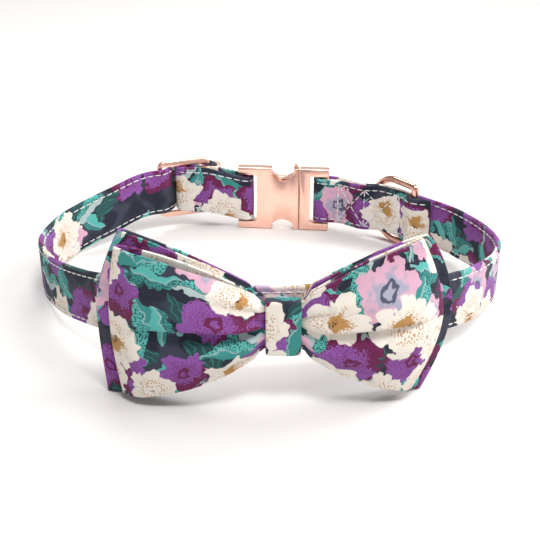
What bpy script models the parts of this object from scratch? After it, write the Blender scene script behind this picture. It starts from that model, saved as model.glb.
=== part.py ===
"""Pet bow tie collar, lying on a flat surface.

One fabric strap runs from a sewn loop on the slider's middle bar to the buckle, back through the
slider, round the neck behind the bow, round the buckle's other bar and back on itself over the
D-ring. Lengths are in metres, +Z is up, the bow faces -Y and the buckle is at the back. In the
plan a fitting's own +X runs along the strap to the right and its +Y points away from the neck.
"""

import math

import bmesh
import bpy
import numpy as np
from mathutils import Vector

# Strap
STRAP_WIDTH = 0.020
STRAP_THICKNESS = 0.0019
STRAP_EDGE_RADIUS = 0.0006
RING_WIDTH = 0.1703
RING_DEPTH = 0.1374
LEAVING_TURN = math.radians(-16)
LAYER_GAP = 0.00035
SEWN_TAIL = 0.0130
END_PAST_D_RING = 0.0075
STRAP_STEP = 0.0042
ARC_STEP = math.radians(30)
LAYER_BEND_RADIUS = 0.0016
LAYERS_MEET_AFTER = 0.010
D_SLOPE_ROOM = 0.0062
LIFT_MARGIN = 0.15

# Buckle, closed
BUCKLE_HEIGHT = 0.028
BUCKLE_DEPTH = 0.0046
HOUSING_LENGTH = 0.0268
INSERT_LENGTH = 0.0127
SEAM_GAP = 0.0003
BUCKLE_BAR = 0.0021
BUCKLE_BAR_THICKNESS = 0.0018
STRAP_SLOT = 0.0062
STRAP_SLACK = 0.0022
SLOT_PLAY = 0.0008
BUCKLE_EDGE_RADIUS = 0.0004
HOUSING_WALL = 0.0010
CAVITY_MARGIN = 0.0016
CAVITY_LENGTH = 0.0175
NOTCH_LENGTH = 0.0098
NOTCH_DEPTH = 0.0056
NOTCH_FROM_SEAM = 0.0072
TONGUE_LENGTH = 0.0150
TONGUE_HEIGHT = 0.0088
LEVER_LENGTH = 0.0135
LEVER_HEIGHT = 0.0052
LEVER_KNUCKLE = 0.0021
LEVER_TIP = 0.0015
LEVER_TIP_SLOPE = 0.0030
LEVER_SCOOP_SHARE = 0.42
FIT_CLEARANCE = 0.0003
STOP_POST = 0.0016
STOP_POST_RISE = 0.0012

# Slider
SLIDER_PLAY = 0.0004
SLIDER_LENGTH = 0.0236
SLIDER_DEPTH = 0.0022
SLIDER_RAIL = 0.0024
SLIDER_BAR = 0.0020
SLIDER_CORNER = 0.0030
SLIDER_LIFT = 0.0079
SLIDER_EDGE_RADIUS = SLIDER_DEPTH * 0.25

# D-ring
D_WIRE = 0.0030
D_SHOULDER = 0.00035
D_STRAIGHT = 0.0080
D_RING_PLAY = 0.0008
D_RING_FROM_BUCKLE = 0.0395
D_RING_LEAN = math.radians(18)

# Bows and knot
BOW_PANEL = 0.0011
BOW_TURN = math.radians(2.1)
BOW_SWEEP = 0.0070
FRONT_BOW_HEIGHT = 0.0490
FRONT_BOW_BULGE = 0.0066
FRONT_END_DEPTH = 0.0022
BACK_BOW_HEIGHT = 0.0540
BACK_BOW_BULGE = 0.0012
BACK_END_DEPTH = 0.0006
BOW_HEM_SPREAD = 0.00026
WAIST_PLEAT = 0.0012
BOW_CENTRE = 0.0051
KNOT_WIDTH = 0.0104
KNOT_STANDOFF = 0.0006
KNOT_WALL = 0.0011
KNOT_SHOULDER = 0.0034
ELASTIC_WIDTH = 0.0080
ELASTIC_THICKNESS = 0.0008
ELASTIC_FROM_KNOT = 0.0190
ELASTIC_GAP = 0.0005
ELASTIC_CORNER_SHARE = 0.6

# Where the buckle and the slider stand in the plan: across and along are shares of half the
# ring's width and half its depth, turn is in degrees.
FITTINGS = {
    "buckle": {"across": 0.088, "along": 0.945, "turn": -6.0},
    "slider": {"across": -0.424, "along": 0.985, "turn": 20.0},
}

# The strap's way round from the buckle's right end to the slider. across and along are shares of
# half the ring's width and depth, lift is the lower edge's height as a share of the bow's.
RING_STATIONS = (
    {"across": 0.489, "along": 0.812, "lift": 0.22},
    {"across": 0.615, "along": 0.720, "lift": 0.285},
    {"across": 0.896, "along": 0.425, "lift": 0.15},
    {"across": 0.998, "along": -0.045, "lift": 0.22},
    {"across": 0.848, "along": -0.485, "lift": 0.45},
    {"across": 0.565, "along": -0.822, "lift": 0.73},
    {"across": 0.200, "along": -0.968, "lift": 0.92},
    {"across": -0.165, "along": -0.990, "lift": 0.95},
    {"across": -0.496, "along": -0.845, "lift": 0.81},
    {"across": -0.740, "along": -0.560, "lift": 0.50},
    {"across": -0.900, "along": -0.240, "lift": 0.20},
    {"across": -0.995, "along": 0.088, "lift": 0.04},
    {"across": -0.955, "along": 0.425, "lift": 0.05},
    {"across": -0.785, "along": 0.672, "lift": 0.24},
)

# A bow panel from knot to wing end. out is the share of half the bow's width, tall the share of
# its end height, bulge the share of its deepest bulge, valley the share of the bulge that the
# fold along the middle takes away.
WING_STATIONS = (
    {"out": 0.00, "tall": 0.28, "bulge": 0.00, "valley": 0.0},
    {"out": 0.11, "tall": 0.29, "bulge": 0.06, "valley": 0.6},
    {"out": 0.17, "tall": 0.42, "bulge": 0.50, "valley": 0.9},
    {"out": 0.27, "tall": 0.53, "bulge": 0.85, "valley": 0.9},
    {"out": 0.40, "tall": 0.66, "bulge": 1.00, "valley": 0.8},
    {"out": 0.55, "tall": 0.79, "bulge": 0.98, "valley": 0.6},
    {"out": 0.70, "tall": 0.89, "bulge": 0.84, "valley": 0.35},
    {"out": 0.84, "tall": 0.96, "bulge": 0.60, "valley": 0.12},
    {"out": 0.95, "tall": 1.00, "bulge": 0.30, "valley": 0.0},
)
PANEL_ROWS = 12
VALLEY_HALF_WIDTH = 0.24
EDGE_BULGE = 0.28
END_ROUNDING = 0.045
WAIST_SHARE = 0.105
WAIST_BLEND = 0.06
CORNER_CURVE = 1.7
END_SHARES = (0.975, 0.992)

# How tall each bow's two panels are where the knot pinches them
WAISTS = {
    "bow_front": {"front": 0.0148, "back": 0.0114},
    "bow_back": {"front": 0.0098, "back": 0.0080},
}

# Each wing of each bow: reach runs from the knot's middle to the wing's end at mid-height,
# upper_in and lower_in are how far the end's corners lie inside that, and upper_drop and
# lower_rise are how far the corners lie inside the bow's height.
WINGS = {
    "bow_front": {
        "left": {
            "reach": 0.0507, "upper_in": 0.0030, "lower_in": 0.0024,
            "upper_drop": 0.0008, "lower_rise": 0.0000,
        },
        "right": {
            "reach": 0.0476, "upper_in": 0.0079, "lower_in": 0.0079,
            "upper_drop": 0.0000, "lower_rise": 0.0016,
        },
    },
    "bow_back": {
        "left": {
            "reach": 0.0551, "upper_in": 0.0085, "lower_in": 0.0015,
            "upper_drop": 0.0000, "lower_rise": 0.0000,
        },
        "right": {
            "reach": 0.0514, "upper_in": 0.0084, "lower_in": 0.0084,
            "upper_drop": 0.0020, "lower_rise": 0.0000,
        },
    },
}

# Plain finishes: red, green, blue, metallic, roughness
FINISHES = {
    "print_fabric": (0.06, 0.20, 0.22, 0.0, 0.85),
    "knot_fabric": (0.78, 0.76, 0.68, 0.0, 0.85),
    "rose_gold": (0.94, 0.60, 0.50, 1.0, 0.28),
    "d_ring_gold": (0.80, 0.45, 0.34, 1.0, 0.22),
    "elastic": (0.05, 0.05, 0.06, 0.0, 0.90),
}

HALF_STRAP = STRAP_THICKNESS / 2
HALF_FOLD = STRAP_THICKNESS + LAYER_GAP
BUCKLE_LENGTH = HOUSING_LENGTH + SEAM_GAP + INSERT_LENGTH
BUCKLE_BAR_X = BUCKLE_LENGTH / 2 - BUCKLE_BAR / 2
BUCKLE_BAR_REACH = math.hypot(BUCKLE_BAR, BUCKLE_BAR_THICKNESS) / 2
BUCKLE_TURN_RADIUS = BUCKLE_BAR_REACH + LAYER_GAP + HALF_STRAP
BUCKLE_LIFT = (BUCKLE_HEIGHT - STRAP_WIDTH) / 2
SEAM_X = -BUCKLE_LENGTH / 2 + HOUSING_LENGTH
SLIDER_BAR_X = SLIDER_LENGTH / 2 - SLIDER_BAR / 2
SLIDER_OPENING = STRAP_WIDTH / 2 + SLIDER_PLAY
SLIDER_BAR_REACH = math.hypot(SLIDER_BAR, SLIDER_DEPTH) / 2
SLIDER_TURN_RADIUS = SLIDER_BAR_REACH + LAYER_GAP + HALF_STRAP
BOW_LIFT = (BACK_BOW_HEIGHT - STRAP_WIDTH) / 2
D_TURN_RADIUS = D_WIRE / 2 + LAYER_GAP + HALF_STRAP
PANEL_PITCH = BOW_PANEL + LAYER_GAP
D_HALF_BAR = STRAP_WIDTH / 2 + D_RING_PLAY + LAYER_GAP + D_WIRE / 2
D_BEND_RADIUS = D_HALF_BAR + D_SHOULDER

# The route's working steps
RUN_OUT = 0.003
SPAN_POINTS = 24
HEADING_REACH = 0.0015
CLOSEST_POINTS = 0.0004
MARKER_SIZE = 0.01


def finish(name):
    """The plain material of this name."""
    material = bpy.data.materials.get(name)
    if material is None:
        red, green, blue, metallic, roughness = FINISHES[name]
        material = bpy.data.materials.new(name)
        material.use_nodes = True
        shader = material.node_tree.nodes["Principled BSDF"]
        shader.inputs["Base Color"].default_value = (red, green, blue, 1.0)
        shader.inputs["Metallic"].default_value = metallic
        shader.inputs["Roughness"].default_value = roughness
    return material


def new_collection(name):
    """An empty collection in the scene."""
    collection = bpy.data.collections.new(name)
    bpy.context.scene.collection.children.link(collection)
    return collection


def add_object(name, mesh, collection, material=None, parent=None):
    """An object for this mesh, in its collection, with its finish and its parent."""
    obj = bpy.data.objects.new(name, mesh)
    collection.objects.link(obj)
    if material:
        mesh.materials.append(finish(material))
    obj.parent = parent
    return obj


def add_empty(name, collection, place, turn, parent):
    """An empty that carries a fitting: its own +X runs along the strap."""
    empty = bpy.data.objects.new(name, None)
    empty.empty_display_size = MARKER_SIZE
    collection.objects.link(empty)
    empty.parent = parent
    empty.location = place
    empty.rotation_euler = (0.0, 0.0, turn)
    return empty


def mesh_from_bmesh(name, built):
    """A mesh with its faces turned outwards."""
    bmesh.ops.recalc_face_normals(built, faces=built.faces)
    mesh = bpy.data.meshes.new(name)
    built.to_mesh(mesh)
    built.free()
    return mesh


def box_mesh(name, low, high):
    """A box between two corners."""
    built = bmesh.new()
    bmesh.ops.create_cube(built, size=1.0)
    size = Vector(high) - Vector(low)
    middle = (Vector(high) + Vector(low)) / 2
    bmesh.ops.scale(built, vec=size, verts=built.verts)
    bmesh.ops.translate(built, vec=middle, verts=built.verts)
    return mesh_from_bmesh(name, built)


def plate_mesh(name, outline, low_y, high_y):
    """A flat outline in the XZ plane, given thickness along Y."""
    built = bmesh.new()
    corners = [built.verts.new((x, low_y, z)) for x, z in outline]
    face = built.faces.new(corners)
    grown = bmesh.ops.extrude_face_region(built, geom=[face])
    moved = [item for item in grown["geom"] if isinstance(item, bmesh.types.BMVert)]
    bmesh.ops.translate(built, vec=(0.0, high_y - low_y, 0.0), verts=moved)
    return mesh_from_bmesh(name, built)


def arc(centre_x, centre_z, radius, start, end, steps):
    """Points of an arc in the XZ plane, angles in degrees."""
    angles = [math.radians(start + (end - start) * i / steps) for i in range(steps + 1)]
    return [(centre_x + radius * math.cos(a), centre_z + radius * math.sin(a)) for a in angles]


def cutter(name, mesh, parent, helpers):
    """A hidden helper that a Boolean takes away."""
    obj = add_object(name, mesh, helpers, parent=parent)
    obj.hide_render = True
    obj.display_type = "WIRE"
    return obj


def boolean(obj, other, operation):
    """A Boolean modifier on obj with the mesh object other."""
    modifier = obj.modifiers.new(other.name, "BOOLEAN")
    modifier.operation = operation
    modifier.solver = "EXACT"
    modifier.object = other


def round_edges(obj, width, segments):
    """Rounds the edges sharper than 40 degrees."""
    bevel = obj.modifiers.new("rounded edges", "BEVEL")
    bevel.width = width
    bevel.segments = segments
    bevel.limit_method = "ANGLE"
    bevel.angle_limit = math.radians(40)


def smooth_step(value):
    """Goes from 0 to 1 with level ends."""
    value = min(1.0, max(0.0, value))
    return value * value * (3.0 - 2.0 * value)


def turned(vector, angle):
    """A plan vector turned to the left by an angle."""
    c, s = math.cos(angle), math.sin(angle)
    return np.array([c * vector[0] - s * vector[1], s * vector[0] + c * vector[1]])


def fitting_place(name):
    """The middle of a fitting in the plan, and its turn."""
    row = FITTINGS[name]
    middle = np.array([row["across"] * RING_WIDTH / 2, row["along"] * RING_DEPTH / 2])
    return middle, math.radians(row["turn"])


def on_fitting(name, along, out):
    """The plan point of a fitting's own coordinates."""
    middle, turn = fitting_place(name)
    return middle + turned((along, out), turn)


def belt(pulleys):
    """A path pulled taut round circles in the plan.

    Each pulley is a centre and a radius: above zero the path turns left round it, below zero
    right, and at zero it is a point of the path.
    """
    headings = []
    for (centre, radius), (next_centre, next_radius) in zip(pulleys, pulleys[1:]):
        gap = np.subtract(next_centre, centre)
        bearing = math.atan2(gap[1], gap[0])
        headings.append(bearing - math.asin((next_radius - radius) / np.hypot(*gap)))
    points = []
    for i, (centre, radius) in enumerate(pulleys):
        before = headings[max(i - 1, 0)]
        after = headings[min(i, len(headings) - 1)]
        if radius > 0 and after < before:
            after += math.tau
        if radius < 0 and after > before:
            after -= math.tau
        if abs(abs(after - before) - math.tau) < 1e-6:
            after = before
        steps = max(1, math.ceil(abs(after - before) / ARC_STEP)) if radius else 0
        for k in range(steps + 1):
            heading = before + (after - before) * k / max(steps, 1)
            left = np.array([-math.sin(heading), math.cos(heading)])
            points.append(np.asarray(centre) - radius * left)
    return points


def hermite(points, start_tangent, end_tangent):
    """A smooth path through the points, with the directions given at its ends."""
    points = np.asarray(points)
    tangents = np.empty_like(points)
    tangents[1:-1] = (points[2:] - points[:-2]) / 2
    tangents[0] = start_tangent
    tangents[-1] = end_tangent
    out = []
    for i in range(len(points) - 1):
        for k in range(SPAN_POINTS):
            t = k / SPAN_POINTS
            out.append(
                (2 * t**3 - 3 * t**2 + 1) * points[i]
                + (t**3 - 2 * t**2 + t) * tangents[i]
                + (3 * t**2 - 2 * t**3) * points[i + 1]
                + (t**3 - t**2) * tangents[i + 1]
            )
    out.append(points[-1])
    return np.array(out)


class Ring:
    """The strap's outer layer from the buckle's right bar, by way of the bow, to the slider."""

    def __init__(self):
        _, buckle_turn = fitting_place("buckle")
        _, slider_turn = fitting_place("slider")
        leaving = buckle_turn + LEAVING_TURN
        start = on_fitting("buckle", BUCKLE_BAR_X, 0.0)
        start = start + turned((RUN_OUT, BUCKLE_TURN_RADIUS), leaving)
        end = on_fitting("slider", -SLIDER_BAR_X - RUN_OUT, -SLIDER_TURN_RADIUS)
        points = [(*start, BUCKLE_LIFT)]
        for row in RING_STATIONS:
            across = row["across"] * RING_WIDTH / 2
            along = row["along"] * RING_DEPTH / 2
            points.append((across, along, row["lift"] * BOW_LIFT))
        points.append((*end, SLIDER_LIFT))
        self.leaving = turned((1.0, 0.0), leaving)
        first = np.linalg.norm(np.subtract(points[1], points[0]))
        last = np.linalg.norm(np.subtract(points[-1], points[-2]))
        ahead = np.append(turned((first, 0.0), leaving), 0.0)
        arrive = np.append(turned((last, 0.0), slider_turn), 0.0)
        self.path = hermite(points, ahead, arrive)
        steps = np.hypot(*np.diff(self.path[:, :2], axis=0).T)
        self.run = np.concatenate([[0.0], np.cumsum(steps)])
        self.length = self.run[-1]

    def at(self, distance):
        """The plan point at a distance, the unit heading there, and the strap's lower edge."""
        x, y, lift = (np.interp(distance, self.run, self.path[:, i]) for i in range(3))
        ends = np.clip([distance - HEADING_REACH, distance + HEADING_REACH], 0.0, self.length)
        ahead = [np.diff(np.interp(ends, self.run, self.path[:, i]))[0] for i in range(2)]
        return np.array([x, y]), np.array(ahead) / np.hypot(*ahead), lift

    def placed(self, distance, out):
        """A point out from the ring, with its lift. Before the start the ring runs straight."""
        point, ahead, lift = self.at(max(distance, 0.0))
        if distance < 0:
            ahead = self.leaving
            point = point + distance * ahead
        outward = np.array([-ahead[1], ahead[0]])
        return (*(point + out * outward), lift)

    def nearest_front(self, across):
        """The distance along the front stretch at which the ring passes this x."""
        front = self.path[:, 1] < 0
        order = np.argsort(self.path[front, 0])
        return float(np.interp(across, self.path[front, 0][order], self.run[front][order]))


def rear_left_route():
    """Plan points from the sewn tail to the slider's left bar, by way of the buckle."""
    fold = SLIDER_TURN_RADIUS
    left = on_fitting("slider", -SLIDER_BAR_X, 0.0)
    centre = on_fitting("slider", 0.0, 0.0)
    right = on_fitting("slider", SLIDER_BAR_X, 0.0)
    buckle = on_fitting("buckle", STRAP_SLACK - BUCKLE_BAR_X, 0.0)
    middle_layer = on_fitting("slider", SEWN_TAIL, -(fold + HALF_FOLD))
    end = on_fitting("slider", -SLIDER_BAR_X - RUN_OUT, -fold)
    return belt(
        [
            (middle_layer, 0.0),
            (right, -(fold + HALF_FOLD)),
            (centre, fold),
            (right, fold + 2 * HALF_FOLD),
            (buckle, BUCKLE_TURN_RADIUS),
            (right, -fold),
            (centre, fold + HALF_FOLD),
            (left, -fold),
            (end, 0.0),
        ]
    )


def rear_left_lift(point):
    """The strap's lower edge between the slider and the buckle."""
    start = on_fitting("slider", SLIDER_BAR_X, 0.0)
    end = on_fitting("buckle", -BUCKLE_BAR_X, 0.0)
    run = end - start
    share = np.dot(point - start, run) / np.dot(run, run)
    share = smooth_step((share - LIFT_MARGIN) / (1 - 2 * LIFT_MARGIN))
    return SLIDER_LIFT + (BUCKLE_LIFT - SLIDER_LIFT) * share


def rear_right_route(ring):
    """Points from the buckle's right bar back along the inner layer and over the D-ring's bar."""
    bend = LAYER_BEND_RADIUS
    inner = -HALF_FOLD
    d_bar = D_RING_FROM_BUCKLE
    turns = belt(
        [
            ((0.0, 0.0), 0.0),
            ((-RUN_OUT - STRAP_SLACK, -BUCKLE_TURN_RADIUS), BUCKLE_TURN_RADIUS),
            ((LAYERS_MEET_AFTER - RUN_OUT, inner - bend), -bend),
            ((d_bar - D_SLOPE_ROOM, inner - bend), -bend),
            ((d_bar, -D_TURN_RADIUS), D_TURN_RADIUS),
            ((d_bar + D_SLOPE_ROOM, inner - bend), -bend),
            ((d_bar + END_PAST_D_RING, inner), 0.0),
        ]
    )
    points = []
    for here, after in zip(turns[1:], turns[2:]):
        pieces = max(1, math.ceil(np.hypot(*(after - here)) / STRAP_STEP))
        for k in range(pieces):
            points.append(here + (after - here) * k / pieces)
    points.append(turns[-1])
    return [ring.placed(along, out) for along, out in points]


def strap_route(ring):
    """The whole centre line as rows of x, y and the lower edge's height."""
    rear_left = rear_left_route()
    route = [(*p, rear_left_lift(p)) for p in rear_left]
    pieces = math.ceil(ring.length / STRAP_STEP)
    for k in range(1, pieces + 1):
        route.append(ring.placed(ring.length * (1 - k / pieces), 0.0))
    route += rear_right_route(ring)
    tidy = [route[0]]
    for row in route[1:]:
        if math.hypot(row[0] - tidy[-1][0], row[1] - tidy[-1][1]) > CLOSEST_POINTS:
            tidy.append(row)
    return tidy


def make_strap(ring, collection, root):
    """The strap: a ribbon along its route, thickened, with rounded edges."""
    built = bmesh.new()
    before = None
    for x, y, lift in strap_route(ring):
        low = built.verts.new((x, y, lift))
        high = built.verts.new((x, y, lift + STRAP_WIDTH))
        if before:
            built.faces.new((before[0], low, high, before[1]))
        before = (low, high)
    mesh = bpy.data.meshes.new("strap")
    built.to_mesh(mesh)
    built.free()
    strap = add_object("strap", mesh, collection, "print_fabric", root)
    solidify = strap.modifiers.new("thickness", "SOLIDIFY")
    solidify.thickness = STRAP_THICKNESS
    solidify.offset = 0.0
    solidify.use_even_offset = True
    mesh.shade_smooth()
    bevel = strap.modifiers.new("folded edges", "BEVEL")
    bevel.width = STRAP_EDGE_RADIUS
    bevel.segments = 1
    bevel.limit_method = "ANGLE"
    bevel.angle_limit = math.radians(70)
    return strap


def strap_window(name, low_x, high_x, parent, helpers):
    """The opening of the buckle that the strap turns through."""
    half = STRAP_WIDTH / 2 + SLOT_PLAY
    mesh = box_mesh(name, (low_x, -BUCKLE_DEPTH, -half), (high_x, BUCKLE_DEPTH, half))
    return cutter(name, mesh, parent, helpers)


def bar_relief(name, centre_x, parent, helpers):
    """Thins the buckle's end bar on both faces to its round thickness."""
    thick = BUCKLE_BAR_THICKNESS / 2
    half = STRAP_WIDTH / 2 + SLOT_PLAY
    found = []
    for side, face in (("inner", -1), ("outer", 1)):
        low, high = sorted((face * thick, face * BUCKLE_DEPTH))
        corners = ((centre_x - BUCKLE_BAR, low, -half), (centre_x + BUCKLE_BAR, high, half))
        mesh = box_mesh(f"{name}_{side}", *corners)
        found.append(cutter(f"{name}_{side}", mesh, parent, helpers))
    return found


def notch_cutter(name, side, parent, helpers):
    """The round finger notch in the housing's upper or lower edge."""
    half = NOTCH_LENGTH / 2
    radius = (half**2 + NOTCH_DEPTH**2) / (2 * NOTCH_DEPTH)
    centre_x = SEAM_X - NOTCH_FROM_SEAM
    centre_z = side * (BUCKLE_HEIGHT / 2 - NOTCH_DEPTH + radius)
    outline = arc(centre_x, centre_z, radius, 0, 337.5, 15)
    if side < 0:
        outline = outline[::-1]
    mesh = plate_mesh(name, outline, -BUCKLE_DEPTH, BUCKLE_DEPTH)
    return cutter(name, mesh, parent, helpers)


def make_housing(collection, helpers, seat):
    """The buckle's hollow left half, with its strap bar and two finger notches."""
    left = -BUCKLE_LENGTH / 2
    half_z = BUCKLE_HEIGHT / 2
    half_y = BUCKLE_DEPTH / 2
    mesh = box_mesh("buckle_female", (left, -half_y, -half_z), (SEAM_X, half_y, half_z))
    housing = add_object("buckle_female", mesh, collection, "rose_gold", seat)
    round_edges(housing, BUCKLE_EDGE_RADIUS, 2)
    slot = left + BUCKLE_BAR
    boolean(housing, strap_window("female_slot", slot, slot + STRAP_SLOT, seat, helpers), "DIFFERENCE")
    for relief in bar_relief("female_bar", left + BUCKLE_BAR / 2, seat, helpers):
        boolean(housing, relief, "DIFFERENCE")
    cavity = box_mesh(
        "lever_cavity",
        (SEAM_X - CAVITY_LENGTH, -half_y + HOUSING_WALL, -half_z + CAVITY_MARGIN),
        (SEAM_X + CAVITY_LENGTH, half_y - HOUSING_WALL, half_z - CAVITY_MARGIN),
    )
    boolean(housing, cutter("lever_cavity", cavity, seat, helpers), "DIFFERENCE")
    for name, side in (("upper_notch", 1), ("lower_notch", -1)):
        boolean(housing, notch_cutter(name, side, seat, helpers), "DIFFERENCE")
    post_x = SEAM_X - STOP_POST
    post = box_mesh(
        "stop_post",
        (post_x - STOP_POST / 2, -half_y + HOUSING_WALL, half_z - CAVITY_MARGIN / 2),
        (post_x + STOP_POST / 2, half_y - HOUSING_WALL, half_z + STOP_POST_RISE),
    )
    boolean(housing, cutter("stop_post", post, seat, helpers), "UNION")
    return housing


def lever_pivot(side):
    """A lever's pivot in the buckle's own coordinates."""
    z = side * (BUCKLE_HEIGHT / 2 - CAVITY_MARGIN - FIT_CLEARANCE - LEVER_KNUCKLE)
    return Vector((SEAM_X - LEVER_KNUCKLE - FIT_CLEARANCE, 0.0, z))


def make_insert(collection, helpers, seat):
    """The buckle's right half: a strap bar, and a tongue that goes into the housing."""
    start = SEAM_X + SEAM_GAP
    end = BUCKLE_LENGTH / 2
    half_z = BUCKLE_HEIGHT / 2
    half_y = BUCKLE_DEPTH / 2
    mesh = box_mesh("buckle_male", (start, -half_y, -half_z), (end, half_y, half_z))
    insert = add_object("buckle_male", mesh, collection, "rose_gold", seat)
    round_edges(insert, BUCKLE_EDGE_RADIUS, 2)
    slot = end - BUCKLE_BAR
    boolean(insert, strap_window("male_slot", slot - STRAP_SLOT, slot, seat, helpers), "DIFFERENCE")
    for relief in bar_relief("male_bar", end - BUCKLE_BAR / 2, seat, helpers):
        boolean(insert, relief, "DIFFERENCE")
    tongue_y = half_y - HOUSING_WALL - FIT_CLEARANCE
    tongue = box_mesh(
        "tongue",
        (start - TONGUE_LENGTH, -tongue_y, -TONGUE_HEIGHT / 2),
        (start + HOUSING_WALL, tongue_y, TONGUE_HEIGHT / 2),
    )
    boolean(insert, cutter("tongue", tongue, seat, helpers), "UNION")
    return insert


def lever_outline(side):
    """The outline of a lever about its pivot, with a finger scoop on its outer edge."""
    knuckle = LEVER_KNUCKLE
    tip = -LEVER_LENGTH
    inner = knuckle - LEVER_HEIGHT
    scoop_half = NOTCH_LENGTH / 2 - FIT_CLEARANCE
    scoop_x = -(NOTCH_FROM_SEAM - LEVER_KNUCKLE - FIT_CLEARANCE)
    scoop_depth = LEVER_HEIGHT * LEVER_SCOOP_SHARE
    radius = (scoop_half**2 + scoop_depth**2) / (2 * scoop_depth)
    sweep = math.degrees(math.asin(scoop_half / radius))
    scoop = arc(scoop_x, knuckle - scoop_depth + radius, radius, 270 + sweep, 270 - sweep, 6)
    outline = arc(0.0, 0.0, knuckle, -90, 70, 5) + scoop
    outline += [(tip, knuckle), (tip, knuckle - LEVER_TIP), (tip + LEVER_TIP_SLOPE, inner)]
    outline += [(-knuckle, inner)]
    return [(x, side * z) for x, z in outline][:: -side]


def make_lever(name, side, collection, seat):
    """One side lever, with its origin on its pivot."""
    half_y = BUCKLE_DEPTH / 2 - HOUSING_WALL - FIT_CLEARANCE
    mesh = plate_mesh(name, lever_outline(side), -half_y, half_y)
    lever = add_object(name, mesh, collection, "rose_gold", seat)
    lever.location = lever_pivot(side)
    return lever


def make_slider(collection, helpers, seat):
    """The slider: a rounded frame with a middle bar."""
    half_x = SLIDER_LENGTH / 2
    half_z = SLIDER_OPENING + SLIDER_RAIL
    corner = SLIDER_CORNER
    outline = []
    for x_sign, z_sign, start in ((1, 1, 0), (-1, 1, 90), (-1, -1, 180), (1, -1, 270)):
        centre = (x_sign * (half_x - corner), z_sign * (half_z - corner))
        outline += arc(*centre, corner, start, start + 90, 3)
    mesh = plate_mesh("slider", outline, -SLIDER_DEPTH / 2, SLIDER_DEPTH / 2)
    slider = add_object("slider", mesh, collection, "rose_gold", seat)
    round_edges(slider, SLIDER_EDGE_RADIUS, 2)
    bar_half = SLIDER_BAR / 2
    for name, side in (("left_gap", -1), ("right_gap", 1)):
        low_x, high_x = sorted((side * bar_half, side * (half_x - SLIDER_BAR)))
        gap = box_mesh(
            name, (low_x, -SLIDER_DEPTH, -SLIDER_OPENING), (high_x, SLIDER_DEPTH, SLIDER_OPENING)
        )
        boolean(slider, cutter(name, gap, seat, helpers), "DIFFERENCE")
    return slider


def d_ring_points():
    """The D-ring's centre line about the middle of its bar, which runs along Z."""
    chord = D_HALF_BAR
    reach = math.sqrt(D_BEND_RADIUS**2 - chord**2)
    opening = math.degrees(math.asin(chord / D_BEND_RADIUS))
    bend = D_BEND_RADIUS
    curve = arc(reach, 0.0, bend, 180 - opening, 90, 5)
    curve += arc(reach + D_STRAIGHT, 0.0, bend, 90, -90, 12)
    curve += arc(reach, 0.0, bend, -90, opening - 180, 5)
    bar = [(0.0, -chord * 0.55), (0.0, 0.0), (0.0, chord * 0.55)]
    return curve + bar


def make_d_ring(ring, collection, root):
    """The D-ring: a wire bent round, with its origin in the middle of its bar."""
    curve = bpy.data.curves.new("d_ring", "CURVE")
    curve.dimensions = "3D"
    curve.bevel_depth = D_WIRE / 2
    curve.bevel_resolution = 2
    spline = curve.splines.new("POLY")
    points = d_ring_points()
    spline.points.add(len(points) - 1)
    for point, (x, z) in zip(spline.points, points):
        point.co = (x, 0.0, z, 1.0)
    spline.use_cyclic_u = True
    curve.materials.append(finish("d_ring_gold"))
    d_ring = bpy.data.objects.new("d_ring", curve)
    collection.objects.link(d_ring)
    d_ring.parent = root
    x, y, lift = ring.placed(D_RING_FROM_BUCKLE, -D_TURN_RADIUS)
    _, ahead, _ = ring.at(D_RING_FROM_BUCKLE)
    back_along = math.atan2(-ahead[1], -ahead[0])
    d_ring.location = (x, y, lift + STRAP_WIDTH / 2 + D_RING_PLAY)
    d_ring.rotation_euler = (0.0, 0.0, back_along - D_RING_LEAN)
    return d_ring


def wing_value(share, column):
    """A column of the wing table at a share of half the bow's width."""
    outs = [row["out"] for row in WING_STATIONS]
    return float(np.interp(share, outs, [row[column] for row in WING_STATIONS]))


def lens_depth(share, up, sizes):
    """How far a bow's front panel stands off its back panel."""
    out = abs(share)
    end = max(0.0, (out - (1 - END_ROUNDING)) / END_ROUNDING)
    rounding = math.sqrt(max(0.0, 1 - end**2))
    fold = math.exp(-((up / VALLEY_HALF_WIDTH) ** 2)) * wing_value(out, "valley")
    crown = EDGE_BULGE + (1 - EDGE_BULGE) * (1 - up**2)
    waist = 1 - smooth_step((out - WAIST_SHARE) / WAIST_BLEND)
    pleat = sizes["pleat"] * waist * (1 - abs(math.cos(math.pi * up)))
    swell = sizes["bulge"] * wing_value(out, "bulge") * crown * (1 - fold)
    end_depth = sizes["end_depth"] * smooth_step(out)
    return PANEL_PITCH + pleat + (swell + end_depth) * rounding


def wing_of(share, sizes):
    """The row of the wing that a share of a bow's width lies on."""
    return sizes["wings"]["right" if share > 0 else "left"]


def panel_point(share, up, sizes, front):
    """A point of a bow's front or back panel.

    share runs from -1 at the left end to 1 at the right, and up from -1 to 1.
    """
    out = abs(share)
    wing = wing_of(share, sizes)
    corner_in = wing["upper_in"] if up > 0 else wing["lower_in"]
    x = share * (wing["reach"] - corner_in * out**3 * abs(up) ** CORNER_CURVE)
    waist = 1 - smooth_step((out - WAIST_SHARE) / WAIST_BLEND)
    waist_height = sizes["waists"]["front" if front else "back"]
    tall = waist_height * waist + wing_value(out, "tall") * sizes["height"] * (1 - waist)
    y = sizes["behind"](x)
    if front:
        y -= lens_depth(share, up, sizes)
    inset = wing["upper_drop"] if up > 0 else wing["lower_rise"]
    return x, y, up * (tall / 2 - inset * out**3)


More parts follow.
